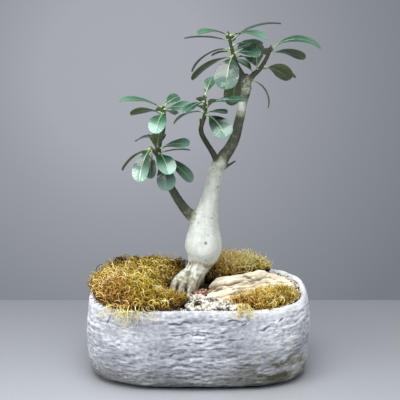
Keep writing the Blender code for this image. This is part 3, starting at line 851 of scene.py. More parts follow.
# %% Bark finish
def adenium_skin():
    """The colour of the skin's age, darkened by rings, streaks and dots, soiled near the soil, and
    darkened in its hollows as painted shade.
    """
    made, tree = new_finish("adenium_skin", Roughness=0.55, Specular_IOR_Level=0.4)
    place = add(tree, "TexCoord", output="Object")
    age, hollow, mark = (
        add(tree, "Attribute", output="Fac", attribute_name=name) for name in ("age", "hollow", "mark")
    )
    mottle = add(tree, "TexNoise", {"Vector": place, "Scale": per(7), "Detail": 4.0})
    shifted = add(tree, "Math", {0: mottle, 1: 0.5, 2: age}, operation="MULTIPLY_ADD")
    halved = add(tree, "Math", {0: shifted, 1: 0.4, 2: -0.1}, operation="MULTIPLY_ADD")
    ages = [
        (0.0, "#d4d9d5"), (0.1, "#c8cec6"), (0.2, "#a0a392"), (0.32, "#474a3b"), (0.46, "#33352a"),
        (0.66, "#525b37"), (0.85, "#8ba65c"),
    ]
    colour = add(tree, "ValToRGB", {"Fac": halved}, ages)
    level = add(tree, "Mapping", {"Vector": place, "Scale": (0.3, 0.3, 1.0)})
    rings = add(tree, "TexNoise", {"Vector": level, "Scale": per(2.6), "Detail": 3.0})
    upright = add(tree, "Mapping", {"Vector": place, "Scale": (1.0, 1.0, 0.2)})
    streaks = add(tree, "TexNoise", {"Vector": upright, "Scale": per(5), "Detail": 4.0})
    dots = add(tree, "TexVoronoi", {"Vector": place, "Scale": per(13)})
    colour = darkened(tree, colour, [
        (rings, 0.35, [(0.3, "#cdcabb"), (0.5, "#ffffff")]),
        (streaks, 0.4, [(0.35, "#cbcbb9"), (0.6, "#ffffff")]),
        (dots, 0.8, [(0.06, "#5d5440"), (0.11, "#ffffff")]),
    ])
    colour = add(tree, "MixRGB", {"Fac": mark, "Color1": colour, "Color2": "#77766c"})

    # Near the soil, specks of it stick to the skin and it darkens the lower skin; the hollows are
    # darkened at any height as painted shade
    height = add(tree, "SeparateXYZ", {"Vector": place}, output="Z")
    up_to = {"Value": height, "From Max": 158 * MM}
    clear = add(tree, "MapRange", {**up_to, "From Min": 140 * MM})
    splash = add(tree, "MapRange", {**up_to, "From Min": 105 * MM, "To Min": 1.1, "To Max": 0.0})
    specks = add(tree, "TexVoronoi", {"Vector": place, "Scale": per(5.5)})
    specks = add(tree, "Math", {0: specks, 1: clear}, operation="ADD")
    soil_and_shade = add(tree, "Math", {0: splash, 1: mottle, 2: hollow}, operation="MULTIPLY_ADD")
    colour = darkened(tree, colour, [
        (specks, 0.75, [(0.12, "#57503f"), (0.2, "#ffffff")]),
        (soil_and_shade, 0.9, [(0.02, "#ffffff"), (0.2, "#bcae90"), (0.55, "#4c3e2a")]),
    ])
    return dressed(made, colour, rings, 0.3, 0.4)


build_trunk(adenium_skin())

# %% [markdown]
# ## Leaves
# An adenium leaf is thick, glossy and spoon-shaped: a short round stalk, a blade that widens slowly
# and ends bluntly, a pale midrib sunk in the top and standing out below. A flat card with a picture
# would look like paper from the side. Each leaf is a closed grid: stations along an arc that droops
# under its own weight, and an oval section round each station that turns from a round stalk into a
# thin, cupped blade.

# %% Leaf rows
# For each group: (limb, share along it, azimuth, lift, length, width, droop, roll), as in the CAD
# model, with angles in degrees and sizes in millimetres
LEAVES = {
    "left": [
        ("left", 1.0, -166, 11, 55, 19, 45, -6), ("left", 0.95, 153, -10, 47, 16, 45, 35),
        ("left", 0.95, -103, -22, 45, 23, 60, 0), ("left", 1.0, 48, 16, 28, 15, 25, 30),
        ("left", 0.98, -38, 9, 42, 23, 35, 20), ("left", 0.95, 72, -18, 40, 16, 40, 0),
        ("left", 1.0, 98, -30, 36, 13, 25, 0), ("left", 0.74, 139, -14, 42, 14, 45, -10),
        ("left", 0.7, -85, 40, 39, 20, 25, 0), ("left", 0.69, -32, 13, 44, 21, 45, 22),
        ("left", 0.65, 8, 2, 37, 17, 25, -14), ("left_low", 0.35, 112, -20, 38, 16, 45, 0),
        ("left_low", 0.97, -115, -50, 48, 24, 55, 0), ("left_low", 0.82, -92, -62, 37, 15, 40, 6),
        ("left", 0.65, -70, -25, 44, 25, 60, 4), ("left", 0.6, -62, -62, 42, 25, 40, 10),
        ("left", 0.61, -16, -38, 50, 21, 30, 24), ("left_low", 0.95, -176, -40, 45, 15, 45, 24),
    ],
    "middle": [
        ("middle", 0.99, 68, 36, 32, 15, 15, 0), ("middle", 0.97, 98, -22, 33, 14, 25, 0),
        ("middle", 0.86, -62, 22, 50, 21, 45, 0), ("middle", 0.9, -8, 6, 50, 19, 25, 12),
        ("middle", 0.77, -52, -30, 46, 28, 55, 20), ("middle", 0.8, -160, -18, 43, 14, 65, 12),
        ("middle", 0.93, -130, -12, 37, 15, 40, -4), ("middle", 0.78, 100, -4, 43, 18, 45, 0),
        ("middle", 0.8, -22, 2, 26, 15, 30, 10),
    ],
    "crown": [
        ("crown_left", 0.97, -146, 6, 45, 20, 50, -4), ("crown_left", 0.87, 172, 1, 56, 18, 25, 7),
        ("crown_left", 0.72, -170, -31, 60, 18, 70, 18), ("crown_left", 0.56, 165, -33, 63, 16, 45, 30),
        ("crown_left", 0.59, -106, -47, 53, 33, 65, 0), ("crown_left", 0.65, 42, 8, 40, 20, 15, 14),
        ("crown_left", 0.62, -20, -4, 33, 22, 50, 24), ("crown_left", 0.94, 82, -25, 34, 13, 25, 0),
        ("crown_left", 0.94, -22, -3, 50, 22, 55, 4), ("crown_left", 0.85, 30, 11, 78, 18, 45, -8),
        ("crown_left", 0.5, 50, -22, 45, 19, 60, 0), ("crown_left", 0.22, 102, -60, 60, 26, 30, 0),
        ("crown_right", 0.36, -96, 60, 43, 20, 20, 0), ("crown_right", 1.0, 8, -3, 69, 18, 80, 22),
        ("crown_right", 0.86, 20, -14, 50, 21, 50, -34),
        ("crown_right", 0.52, -8, -27, 37, 32, 50, -50), ("crown_right", 0.48, 34, -19, 58, 16, 45, 0),
        ("crown_right", 0.96, 95, -25, 38, 15, 30, 0), ("crown_right", 0.26, 122, 14, 42, 17, 35, 0),
        ("crown_right", 0.12, -4, -62, 45, 14, 80, 0), ("crown_left", 0.66, 176, -14, 24, 11, 40, 20),
        ("crown_left", 0.76, -10, 4, 38, 16, 35, 10),
    ],
}
STALK_SHARE = 0.1  # of the leaf's length, before the blade begins
STALK_HALF_WIDTH = 1.0 * MM
STALK_GAP = 1.6 * MM  # from the stem's surface to where the arc begins
BLADE_RISE = 0.95  # how slowly the blade widens from the stalk
BLADE_ROUND = 0.5  # how bluntly it ends
BLADE_CUP = 0.12  # how far the edges lift, as a share of the half width
BLADE_THICKNESS = 0.42 * MM  # half the blade's thickness at the midrib
VEIN_SPACING = 4.5 * MM
VEIN_SLANT = 0.55  # how far the veins lean to the tip for each step outwards
VEIN_PALE_TO = 0.5  # millimetres from a vein's middle

# %% [markdown]
# Glossy leaf skin is a wax layer over dark green flesh. The wax gives sharp white highlights, so the
# shader has a clear coat. A pale blue-green sheen towards the tip is also painted into the colour as a
# highlight. The underside is duller and olive. The midrib is drawn from the true
# distance across the leaf, so that it keeps its width from stalk to tip.


# %% Leaf finish
def waxy_leaf():
    """Dark green above and olive below, under a painted pale sheen, slanting veins, a pale midrib and
    stalk.
    """
    made, tree = new_finish(
        "waxy_adenium_leaf", Roughness=0.42, Coat_Weight=0.75, Coat_Roughness=0.15
    )
    place = add(tree, "TexCoord", output="Object")
    across, along, along_mm, under, tint, painted_sheen = (
        add(tree, "Attribute", output="Fac", attribute_name=name)
        for name in ("across_mm", "along", "along_mm", "under", "tint", "painted_sheen")
    )
    cloud = add(tree, "TexNoise", {"Vector": place, "Scale": per(14), "Detail": 3.0})
    tone = add(tree, "Math", {0: cloud, 1: 0.45, 2: tint}, operation="MULTIPLY_ADD")
    dark_green = [(0.2, "#081d13"), (0.45, "#0f2f1f"), (0.75, "#1e5035"), (1.0, "#3f7d4a")]
    olive = [(0.2, "#2b3a1d"), (0.6, "#43542b"), (1.0, "#64783d")]
    colour, below = (add(tree, "ValToRGB", {"Fac": tone}, stops) for stops in (dark_green, olive))
    away = add(tree, "Math", {0: across}, operation="ABSOLUTE")
    line = add(tree, "Math", {0: away, 1: -VEIN_SLANT, 2: along_mm}, operation="MULTIPLY_ADD")
    wave = add(tree, "Math", {0: line, 1: VEIN_SPACING / MM}, operation="PINGPONG")
    # How strongly each pale line shows, at the first distance and at the second
    vein, rib, fade, stalk = (
        add(tree, "MapRange", {"Value": value, "From Min": a, "From Max": b, "To Min": c, "To Max": d})
        for value, a, b, c, d in (
            (wave, 0.0, VEIN_PALE_TO, 0.22, 0.0),
            (away, 0.1, 0.85, 0.8, 0.0),
            (along, 0.3, 0.95, 0.9, 0.15),
            (along, 0.03, 0.14, 0.85, 0.0),
        )
    )
    rib = add(tree, "Math", {0: rib, 1: fade}, operation="MULTIPLY")
    # The first tint is a painted sheen: a pale blue-green highlight towards the tip
    tints = ((painted_sheen, "#9ac8b4"), (under, below), (vein, "#6fa07a"), (rib, "#a3c48c"), (stalk, "#9db97c"))
    for share, over in tints:
        colour = add(tree, "MixRGB", {"Fac": share, "Color1": colour, "Color2": over})
    return dressed(made, colour, cloud, 0.1, 0.5)


# %% Leaf surface
LEAF_ROWS = 54
LEAF_COLUMNS = 40


def on_limb(name, share):
    """(centre, direction, radius) at a share of a limb's length."""
    path = limb_path(name)
    along = lengths_along(path[:, :3])
    along = along / along[-1]
    place = np.array([np.interp(share, along, path[:, k]) for k in range(4)])
    k = min(int(np.searchsorted(along, share)), len(path) - 2)
    return place[:3], unit(path[k + 1, :3] - path[k, :3]), place[3]


def half_width(t, width):
    """Half the width at t: the stalk's, or x^rise (1-x)^round of the blade scaled to its peak."""
    x = np.clip((t - STALK_SHARE) / (1 - STALK_SHARE), 0, 1)
    peak = BLADE_RISE / (BLADE_RISE + BLADE_ROUND)
    highest = peak**BLADE_RISE * (1 - peak) ** BLADE_ROUND
    blade = width / 2 * x**BLADE_RISE * (1 - x) ** BLADE_ROUND / highest
    stalk = STALK_HALF_WIDTH * (1 - smooth_step(t, 0.8, 1.0))
    return np.sqrt(blade**2 + stalk**2)


def leaf_grid(row, seed):
    """(grid, values): ovals round an arc. Its pitch falls evenly by droop, so both integrals of the
    arc are closed forms, and three more stations run back from the arc's start into the stem."""
    limb, share, azimuth, lift, length, width, droop, roll = row
    azimuth, lift, droop, roll = np.radians([azimuth, lift, droop, roll])
    length, width = length * MM, width * MM
    heading = np.array([np.cos(azimuth), np.sin(azimuth), 0])
    upright = np.array([0, 0, 1.0])
    centre, stem, radius = on_limb(limb, share)
    steep = lift + droop / 2
    start = heading * np.cos(steep) + upright * np.sin(steep)
    outward = unit(start - stem * (start @ stem))
    base = centre + outward * (radius + STALK_GAP)

    s = np.linspace(0, 1, LEAF_ROWS)
    t = np.sin(s * np.pi / 2) ** 1.15 * 0.9995
    pitch = (steep - droop * t)[:, None]
    forward = (np.sin(steep) - np.sin(pitch)) / droop
    upward = (np.cos(pitch) - np.cos(steep)) / droop
    spine = base + length * (heading * forward + upright * upward)
    along = heading * np.cos(pitch) + upright * np.sin(pitch)
    up = upright * np.cos(pitch) - heading * np.sin(pitch)
    across = np.cross(along, up)
    up = up * np.cos(roll) + across * np.sin(roll)
    across = np.cross(along, up)

    half = half_width(t, width)[:, None]
    turn = (np.arange(LEAF_COLUMNS) / LEAF_COLUMNS * 2 * np.pi)[None]
    x, y = np.cos(turn), np.sin(turn)
    blade = smooth_step(t, STALK_SHARE, 0.3)[:, None]
    edge_thin = 1 - 0.6 * blade * x**2
    thick = (STALK_HALF_WIDTH * 0.9 * (1 - blade) + BLADE_THICKNESS * blade) * edge_thin
    thick = thick * (1 - smooth_step(s, 0.9, 1.0)[:, None] * 0.85)
    x_mm = x * half / MM
    slant = (t[:, None] * length - VEIN_SLANT * np.abs(x) * half) / VEIN_SPACING
    pillow = 0.16 * MM * np.abs(np.sin(np.pi * slant)) * np.abs(x) * blade
    groove = np.exp(-((x_mm / 0.9) ** 2)) * blade
    ridge = np.where(y > 0, -0.28, -0.55) * MM * groove
    wavy = 0.05 * np.sin(2 * np.pi * (1.4 * t[:, None] + 1.7 * seed) + np.sign(x) * 1.3) * x**2
    raised = half * (BLADE_CUP * np.abs(x) ** 1.4 + wavy * blade)
    raised = raised + thick * y + ridge * np.abs(y) + pillow
    grid = spine[:, None] + across[:, None] * (x * half)[..., None] + up[:, None] * raised[..., None]

    roots = np.array([0.3, 0.75, 1.0])[:, None] * radius + np.array([0, 0, 0.5])[:, None] * MM
    inner = centre + outward * roots
    ring = across[0] * x[0][:, None] + up[0] * y[0][:, None]
    sizes = (np.array([1.0, 1.5, 1.35]) * STALK_HALF_WIDTH)[:, None, None]
    grid = np.concatenate([inner[:, None] + ring * sizes, grid])
    joined = np.concatenate([np.zeros(3), t])[:, None]
    x_mm = np.concatenate([np.zeros((3, LEAF_COLUMNS)), x_mm])
    under = np.concatenate([np.zeros((3, LEAF_COLUMNS)), (y < -0.02) * np.ones_like(half)])
    values = {"across_mm": x_mm, "along": joined, "along_mm": joined * length / MM, "under": under}
    return grid, values


def build_leaves(finish):
    """Every leaf, with a tint of its own, and a painted sheen towards its tip that is strongest on leaves
    about 25 mm wide.
    """
    picks = np.random.default_rng(7)
    rows = [(f"leaf_{group}_{k:02d}", row) for group in LEAVES for k, row in enumerate(LEAVES[group], 1)]
    for seed, (name, row) in enumerate(rows):
        grid, values = leaf_grid(row, seed)
        young = 0.3 if row[1] > 0.93 else 0.0
        values["tint"] = 0.1 + young * picks.uniform(0.4, 1) + picks.uniform(0, 0.28)
        # How strong the painted sheen is: most near 25 mm wide, a little on every leaf
        sheen_strength = 0.36 * np.exp(-(((row[5] - 25) / 3.5) ** 2)) + 0.08 + 0.2 * picks.uniform(0, 1) ** 2
        values["painted_sheen"] = sheen_strength * smooth_step(values["along"], 0.4, 1.0)
        points, faces, values = with_poles(grid, values)
        piece(f"{name}_blade", points, faces, finish, [name], values)
    print(len(rows), "leaves")


build_leaves(waxy_leaf())

# %% [markdown]
# ## Mounds
# The moss cushions, the rock and the gravel bed are all low mounds over an outline. Each is a polar
# grid: the outline's ring shrinks towards its middle while its height rises, and two flat rings
# below close it. A point on it is named by its place round the outline and its share of the way out,
# and strands and chips are scattered with the same two numbers.

# %% Outlines and mounds
# Outlines are (x, y) points in millimetres, seen from above, as in the CAD model
MOSS_LEFT = [
    (-16, -62), (-20, -36), (-44, -24), (-50, -4), (-44, 12), (-26, 22), (-18, 42), (-20, 68),
    (-50, 80), (-95, 79), (-122, 66), (-139, 35), (-142, 0), (-138, -38), (-122, -66),
    (-94, -81), (-60, -84), (-34, -80),
]
MOSS_BACK = [
    (24, 76), (-2, 70), (-8, 52), (-2, 34), (12, 16), (24, 22), (40, 29), (56, 35), (70, 42),
    (90, 53), (102, 60), (92, 72), (60, 79),
]
MOSS_FRONT = [
    (42, -50), (60, -44), (80, -34), (104, -28), (122, -20), (130, -22), (126, -40),
    (110, -58), (88, -70), (70, -73), (56, -63),
]
ROCK = [
    (14, -36), (14, -16), (15, 5), (26, 15), (40, 22), (56, 28), (76, 35), (96, 47), (112, 42),
    (124, 22), (130, -2), (122, -14), (104, -22), (80, -28), (58, -38), (38, -48), (24, -47),
]
GRAVEL = [
    (-14, -72), (-12, -48), (-14, -30), (-5, -29), (2, -33), (12, -43), (24, -53),
    (36, -55), (48, -62), (60, -70), (54, -74), (34, -74), (12, -75),
]
FOOT = ("root_main", "root_left", "root_toe")


def from_roots(xy):
    """Distance in plan from the nearest root's surface, negative under it."""
    path = np.concatenate([even_spacing(limb_path(name), 8) for name in FOOT])
    return (np.linalg.norm(xy[..., None, :] - path[:, :2], axis=-1) - path[:, 3]).min(axis=-1)


def crowding(xy):
    """1 at the roots and up to 16 mm in front of them, falling to 0 another 26 mm away."""
    near = np.minimum(from_roots(xy), from_roots(xy + np.array([0, 16 * MM])))
    return 1 - smooth_step(near, 2 * MM, 28 * MM)


class Mound:
    """A low mound: rings of a closed outline shrunk to its middle, with a rise for each share."""

    def __init__(self, outline, node, height, edge=0.25, power=3.0, sink=0.0, lumps=0.16, room=0.0):
        closed = np.array([*outline, *outline[:3]], float) * MM
        self.ring = even_spacing(smooth_path(closed, 12)[12:-12], 241)[:-1]
        self.centre = np.array(outline, float).mean(axis=0) * MM
        self.node, self.base = node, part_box(node)[0][2]
        self.height, self.edge, self.power = height, edge, power
        self.sink, self.lumps, self.room = sink, lumps, room

    def place(self, turn, share):
        """(x, y) at a turn of 0 to 1 round the outline and a share of the way out to it."""
        where = np.asarray(turn) * len(self.ring)
        low = np.floor(where).astype(int) % len(self.ring)
        blend = (where - np.floor(where))[..., None]
        rim = self.ring[low] * (1 - blend) + self.ring[(low + 1) % len(self.ring)] * blend
        return self.centre + (rim - self.centre) * np.asarray(share)[..., None]

    def top(self, xy, share):
        """The mound's height above its base: edge + (1 - edge)(1 - share^power), with soft lumps."""
        rise = self.edge + (1 - self.edge) * (1 - np.asarray(share) ** self.power)
        flat = np.concatenate([xy, np.zeros((*xy.shape[:-1], 1))], axis=-1)
        rise = rise * (1 + self.lumps * fractal(flat, 26, 2, 401))
        rise = rise * (1 - self.room * crowding(xy))
        return self.base + self.height * rise - self.sink

    def grid(self, rows, columns):
        """Two closing rings below, then rings from the outline to near the middle."""
        turn = np.broadcast_to(np.arange(columns) / columns, (rows, columns))
        share = np.broadcast_to(np.linspace(1, 0.01, rows)[:, None], (rows, columns))
        xy = self.place(turn, share)
        upper = np.concatenate([xy, self.top(xy, share)[..., None]], axis=-1)
        lower = np.stack([self.place(turn[0], np.full(columns, k)) for k in (0.02, 0.97)])
        lower = np.concatenate([lower, np.full((2, columns, 1), self.base)], axis=-1)
        return np.concatenate([lower, upper])


# %% [markdown]
# ## Moss
# The moss is dried reindeer moss and sheet moss: a springy tangle of thin golden strands over a dark
# brown mat. A bumpy cushion with a moss colour has no gaps and no loose hairs. Real strands are
# cheap enough: each is a three-sided tube whose path is a straight lean plus a circle, which makes
# a curl, and all of them are worked out as one array. Their tone is stored on each point, darker the
# lower it lies as painted shade in the tangle, and the mat is near black as painted shade in the gaps.


# %% Moss finish
def dried_moss():
    """Two ramps of the strand's tone, gold and rust, mixed by its warmth."""
    made, tree = new_finish("dried_reindeer_moss", Roughness=0.75, Specular_IOR_Level=0.25)
    tone, warm = (
        add(tree, "Attribute", output="Fac", attribute_name=name) for name in ("tone", "warm")
    )
    gold, rust = (
        add(tree, "ValToRGB", {"Fac": tone}, list(zip((0.0, 0.25, 0.5, 0.75, 1.0), codes)))
        for codes in (
            ("#1f180a", "#625014", "#ab9024", "#dcc445", "#f4ecae"),
            ("#24140a", "#633b17", "#a6752c", "#d2a74e", "#eedda6"),
        )
    )
    return dressed(made, add(tree, "MixRGB", {"Fac": warm, "Color1": gold, "Color2": rust}))


DRIED_MOSS = dried_moss()

# %% Moss strands
STRAND_STATIONS = 8
STRAND_SIDES = 3
STRAND_TRIANGLES = 46
PIECE_LIMIT = 190000  # triangles


def strand_tubes(paths, radii):
    """(points, faces) of three-sided tubes along many paths (count, stations, 3), tapering."""
    count, stations = paths.shape[:2]
    tangent = unit(np.gradient(paths, axis=1))
    across = unit(np.cross(tangent, np.array([0.31, 0.62, 0.72])))
    other = np.cross(tangent, across)
    turn = (np.arange(STRAND_SIDES) / STRAND_SIDES * 2 * np.pi)[:, None]
    ring = across[:, :, None] * np.cos(turn) + other[:, :, None] * np.sin(turn)
    taper = (1 - 0.65 * np.linspace(0, 1, stations) ** 2)[None, :, None, None]
    points = paths[:, :, None] + ring * radii[:, None, None, None] * taper
    one = grid_faces(stations, STRAND_SIDES)
    offsets = (np.arange(count) * stations * STRAND_SIDES)[:, None, None]
    last = (stations - 1) * STRAND_SIDES
    caps = np.array([(2, 1, 0), (last, last + 1, last + 2)])
    return points.reshape(-1, 3), [(one + offsets).reshape(-1, 4), (caps + offsets).reshape(-1, 3)]


def curls(starts, lean, length, curl, turns, picks, stations=STRAND_STATIONS):
    """Paths: start + lean * length * s, plus a circle of radius curl round the lean's direction."""
    count = len(starts)
    s = np.linspace(0, 1, stations)[None, :, None]
    lean = unit(lean)[:, None]
    side = unit(np.cross(lean, picks.normal(size=(count, 1, 3))))
    other = np.cross(lean, side)
    phase = picks.uniform(0, 2 * np.pi, (count, 1, 1))
    angle = phase + 2 * np.pi * turns[:, None, None] * s
    circle = side * (np.cos(angle) - np.cos(phase)) + other * (np.sin(angle) - np.sin(phase))
    return starts[:, None] + lean * length[:, None, None] * s + circle * curl[:, None, None]


def strands_piece(name, node, paths, radii, tones, warms):
    """A piece of strands with a tone for each station or each strand, and a warmth for each."""
    points, faces = strand_tubes(paths, radii)
    each = paths.shape[1] * STRAND_SIDES
    values = {
        "tone": np.repeat(tones, points.shape[0] // tones.size),
        "warm": np.repeat(warms, each),
    }
    piece(name, points, faces, DRIED_MOSS, [node], values)


def moss_strands(mound, count, seed, tone, warm, curl, thick, upright=0.3, length=(6, 16), reach=1.03):
    """Scatters strands over a mound in pieces that stay small enough. Each is darker the lower it lies,
    as painted shade down in the tangle.
    """
    picks = np.random.default_rng(seed)
    share = np.sqrt(picks.uniform(0, reach**2, count))
    turn = picks.uniform(0, 1, count)
    xy = mound.place(turn, share)
    z = mound.top(xy, np.minimum(share, 1)) - picks.uniform(1, 7, count) * MM
    keep = from_roots(xy) > 3.5 * MM
    share, xy, z = share[keep], xy[keep], z[keep]
    count = len(share)
    starts = np.column_stack([xy, z])
    heading = picks.uniform(0, 2 * np.pi, count)
    outward = unit(xy - mound.centre) * (share**4)[:, None] * 0.35
    flat = np.column_stack([np.cos(heading), np.sin(heading)]) + outward
    lean = np.column_stack([flat, upright + picks.uniform(-0.15, 0.5, count)])
    short = (1 - 0.6 * crowding(xy)) * MM
    paths = curls(starts, lean, picks.uniform(*length, count) * short,
                  picks.uniform(*curl, count) * short, picks.uniform(0.15, 1.25, count), picks)
    floor = mound.top(xy, np.minimum(share, 1))[:, None] - 5 * MM
    paths[..., 2] = np.maximum(paths[..., 2], floor)
    radii = picks.uniform(*thick, count) * MM
    shade = 0.67 + 0.5 * fractal(starts, (22, 22, 60), 3, seed + 5)
    shade = shade + picks.uniform(-0.3, 0.32, count) + tone(starts)
    # Painted shade: a strand is darker the lower it lies in the tangle
    climb = (paths[..., 2] - floor) / (10 * MM)
    tones = np.clip(shade[:, None] * (0.22 + 0.8 * np.clip(climb, 0, 1.1)), 0, 1)
    rust = np.clip(0.1 + fractal(starts, (34, 34, 60), 2, seed + 9), 0, 1)
    rust = np.clip(rust + warm(starts), 0, 1)
    groups = np.array_split(np.arange(count), math.ceil(count * STRAND_TRIANGLES / PIECE_LIMIT))
    for k, group in enumerate(groups, 1):
        name = f"{mound.node}_strands_{k}"
        strands_piece(name, mound.node, paths[group], radii[group], tones[group], rust[group])


def moss_mat(mound):
    """The dark brown mat under the strands, near black, which also paints the shade in the gaps between
    them.
    """
    grid = mound.grid(50, 240)
    grid[2:, :, 2] += 1.8 * MM * fractal(grid, 7, 3, 431)[2:]
    # Near black: the mat's tone is painted shade for the gaps
    tone = np.clip(0.04 + 0.12 * fractal(grid, 5, 2, 433), 0, 1)
    points, faces, values = with_poles(grid, {"tone": tone, "warm": 0.5})
    piece(f"{mound.node}_mat", points, faces, DRIED_MOSS, [mound.node], values)


left_mound = Mound(MOSS_LEFT, "moss_left", 22 * MM, edge=0.3, sink=3 * MM, lumps=0.35, room=0.85)
back_mound = Mound(MOSS_BACK, "moss_back", 24 * MM, edge=0.3, sink=3 * MM, lumps=0.35)
front_mound = Mound(MOSS_FRONT, "moss_front", 13 * MM, edge=0.25, sink=2 * MM, lumps=0.35)
for moss in (left_mound, back_mound, front_mound):
    moss_mat(moss)

# Tone goes from dark to pale, and warmth from gold to rust, by where a strand starts
moss_strands(
    left_mound, 5000, 41,
    tone=lambda p: 0.1 - 0.5 * smooth_step(p[:, 1] - 0.1 * p[:, 0], 20 * MM, 46 * MM),
    warm=lambda p: 0.7 * smooth_step(-p[:, 0] - 0.6 * p[:, 1], 96 * MM, 138 * MM),
    curl=(1.4, 6.0), thick=(0.36, 0.82), reach=0.97,
)
moss_strands(
    back_mound, 2300, 43,
    tone=lambda p: 0.2 + 0.26 * smooth_step(p[:, 0], 40 * MM, 75 * MM),
    warm=lambda p: 0.5 - 1.2 * smooth_step(p[:, 0], 35 * MM, 70 * MM),
    curl=(1.0, 3.2), thick=(0.36, 0.74), upright=0.85, length=(7, 16), reach=0.95,
)
moss_strands(
    front_mound, 1300, 47,
    tone=lambda p: 0.12,
    warm=lambda p: 0.35 + 0.4 * smooth_step(-p[:, 0], -90 * MM, -50 * MM),
    curl=(1.2, 3.6), thick=(0.4, 0.82), upright=0.9, length=(7, 14),
)

# %% [markdown]
# Fine dry hairs stand out of the cushions against the light, and a few pale strands have slipped
# over the rim and hang down the front of the pot. The hanging ones follow the pot: out over the
# rim and down the wall, with the same curls added.


# %% Loose hairs and hanging wisps
WISP_STATIONS = 16


def stray_hairs(mound, count, seed, low=0.4):
    """Thin, nearly straight hairs that lean out of the outer part of a cushion."""
    picks = np.random.default_rng(seed)
    share = picks.uniform(low, 1.02, count)
    xy = mound.place(picks.uniform(0, 1, count), share)
    z = mound.top(xy, np.minimum(share, 1)) - 1 * MM
    outward = unit(xy - mound.centre)
    lean = np.column_stack([outward * 0.5 + picks.normal(0, 0.4, (count, 2)), np.full(count, 1.0)])
    paths = curls(np.column_stack([xy, z]), lean, picks.uniform(8, 17, count) * MM,
                  picks.uniform(0.4, 1.6, count) * MM, picks.uniform(0.3, 0.8, count), picks)
    radii = picks.uniform(0.18, 0.36, count) * MM
    tones, warms = picks.uniform(0.3, 0.9, count), picks.uniform(0, 1, count)
    strands_piece(f"{mound.node}_hairs", mound.node, paths, radii, tones, warms)


def hanging_wisps(node, count, seed, middle, spread, drop):
    """Strands over the rim: forward by a quarter sine, and down by the square of the share."""
    picks = np.random.default_rng(seed)
    s = np.linspace(0, 1, WISP_STATIONS)[None]
    x = middle + picks.normal(0, 1, (count, 1)) * spread
    slide = picks.normal(0, 15, (count, 1)) * MM
    fall = picks.uniform(*drop, (count, 1)) * MM
    y0 = -70 * MM - picks.uniform(0, 6, (count, 1)) * MM
    y1 = -POT_DEPTH / 2 - picks.uniform(0.4, 2.5, (count, 1)) * MM
    y = y0 + (y1 - y0) * np.sin(np.minimum(s * 1.8, 1) * np.pi / 2)
    z = POT_HEIGHT + 5 * MM * np.cos(s * np.pi / 2) - fall * s**2
    wiggle = curls(np.zeros((count, 3)), picks.normal(size=(count, 3)), np.zeros(count),
                   picks.uniform(1.5, 4.5, count) * MM, picks.uniform(0.8, 2.6, count), picks,
                   WISP_STATIONS)
    wiggle[..., 1] = -np.abs(wiggle[..., 1]) * 0.5
    paths = np.stack([x + slide * s, y, z], axis=-1) + wiggle
    radii = picks.uniform(0.28, 0.62, count) * MM
    tones, warms = picks.uniform(0.6, 1.25, count), picks.uniform(0, 0.8, count)
    strands_piece(f"{node}_wisps", node, paths, radii, tones, warms)


stray_hairs(left_mound, 700, 53)
stray_hairs(back_mound, 620, 59, low=0.1)
stray_hairs(front_mound, 140, 61)
hanging_wisps("moss_left", 38, 67, -86 * MM, 17 * MM, (2, 22))
hanging_wisps("moss_front", 22, 71, 60 * MM, 6 * MM, (2, 10))

# %% [markdown]
# ## The rock
# A flat slab of water-worn limestone: cream, folded into ridges that run along it, with its crevices
# painted grey-brown as shade and its crests paler as highlight. Its ridges are the fold of a noise: one
# minus its absolute value makes sharp crests, and stretching the noise along the slab makes them run
# the right way.


# %% Limestone
def folded_limestone():
    """Crevice brown to cream by the tone stored on each point, painted shade in the crevices and
    highlight on the crests, plus its grain, with a few rusty patches.
    """
    made, tree = new_finish("water_worn_limestone", Roughness=0.85)
    place = add(tree, "TexCoord", output="Object")
    relief_and_shade = add(tree, "Attribute", output="Fac", attribute_name="relief_and_shade")
    grain = add(tree, "TexNoise", {"Vector": place, "Scale": per(4), "Detail": 5.0, "Roughness": 0.65})
    patch = add(tree, "TexNoise", {"Vector": place, "Scale": per(20), "Detail": 3.0})
    height = add(tree, "Math", {0: grain, 1: 0.5, 2: relief_and_shade}, operation="MULTIPLY_ADD")
    cream = [(0.26, "#6f6355"), (0.42, "#a3977f"), (0.6, "#cfc5aa"), (1.0, "#efe9d8")]
    colour = add(tree, "ValToRGB", {"Fac": height}, cream)
    colour = darkened(tree, colour, [(patch, 0.7, [(0.6, "#ffffff"), (0.72, "#c79a62")])])
    return dressed(made, colour, grain, 0.5, 0.8)


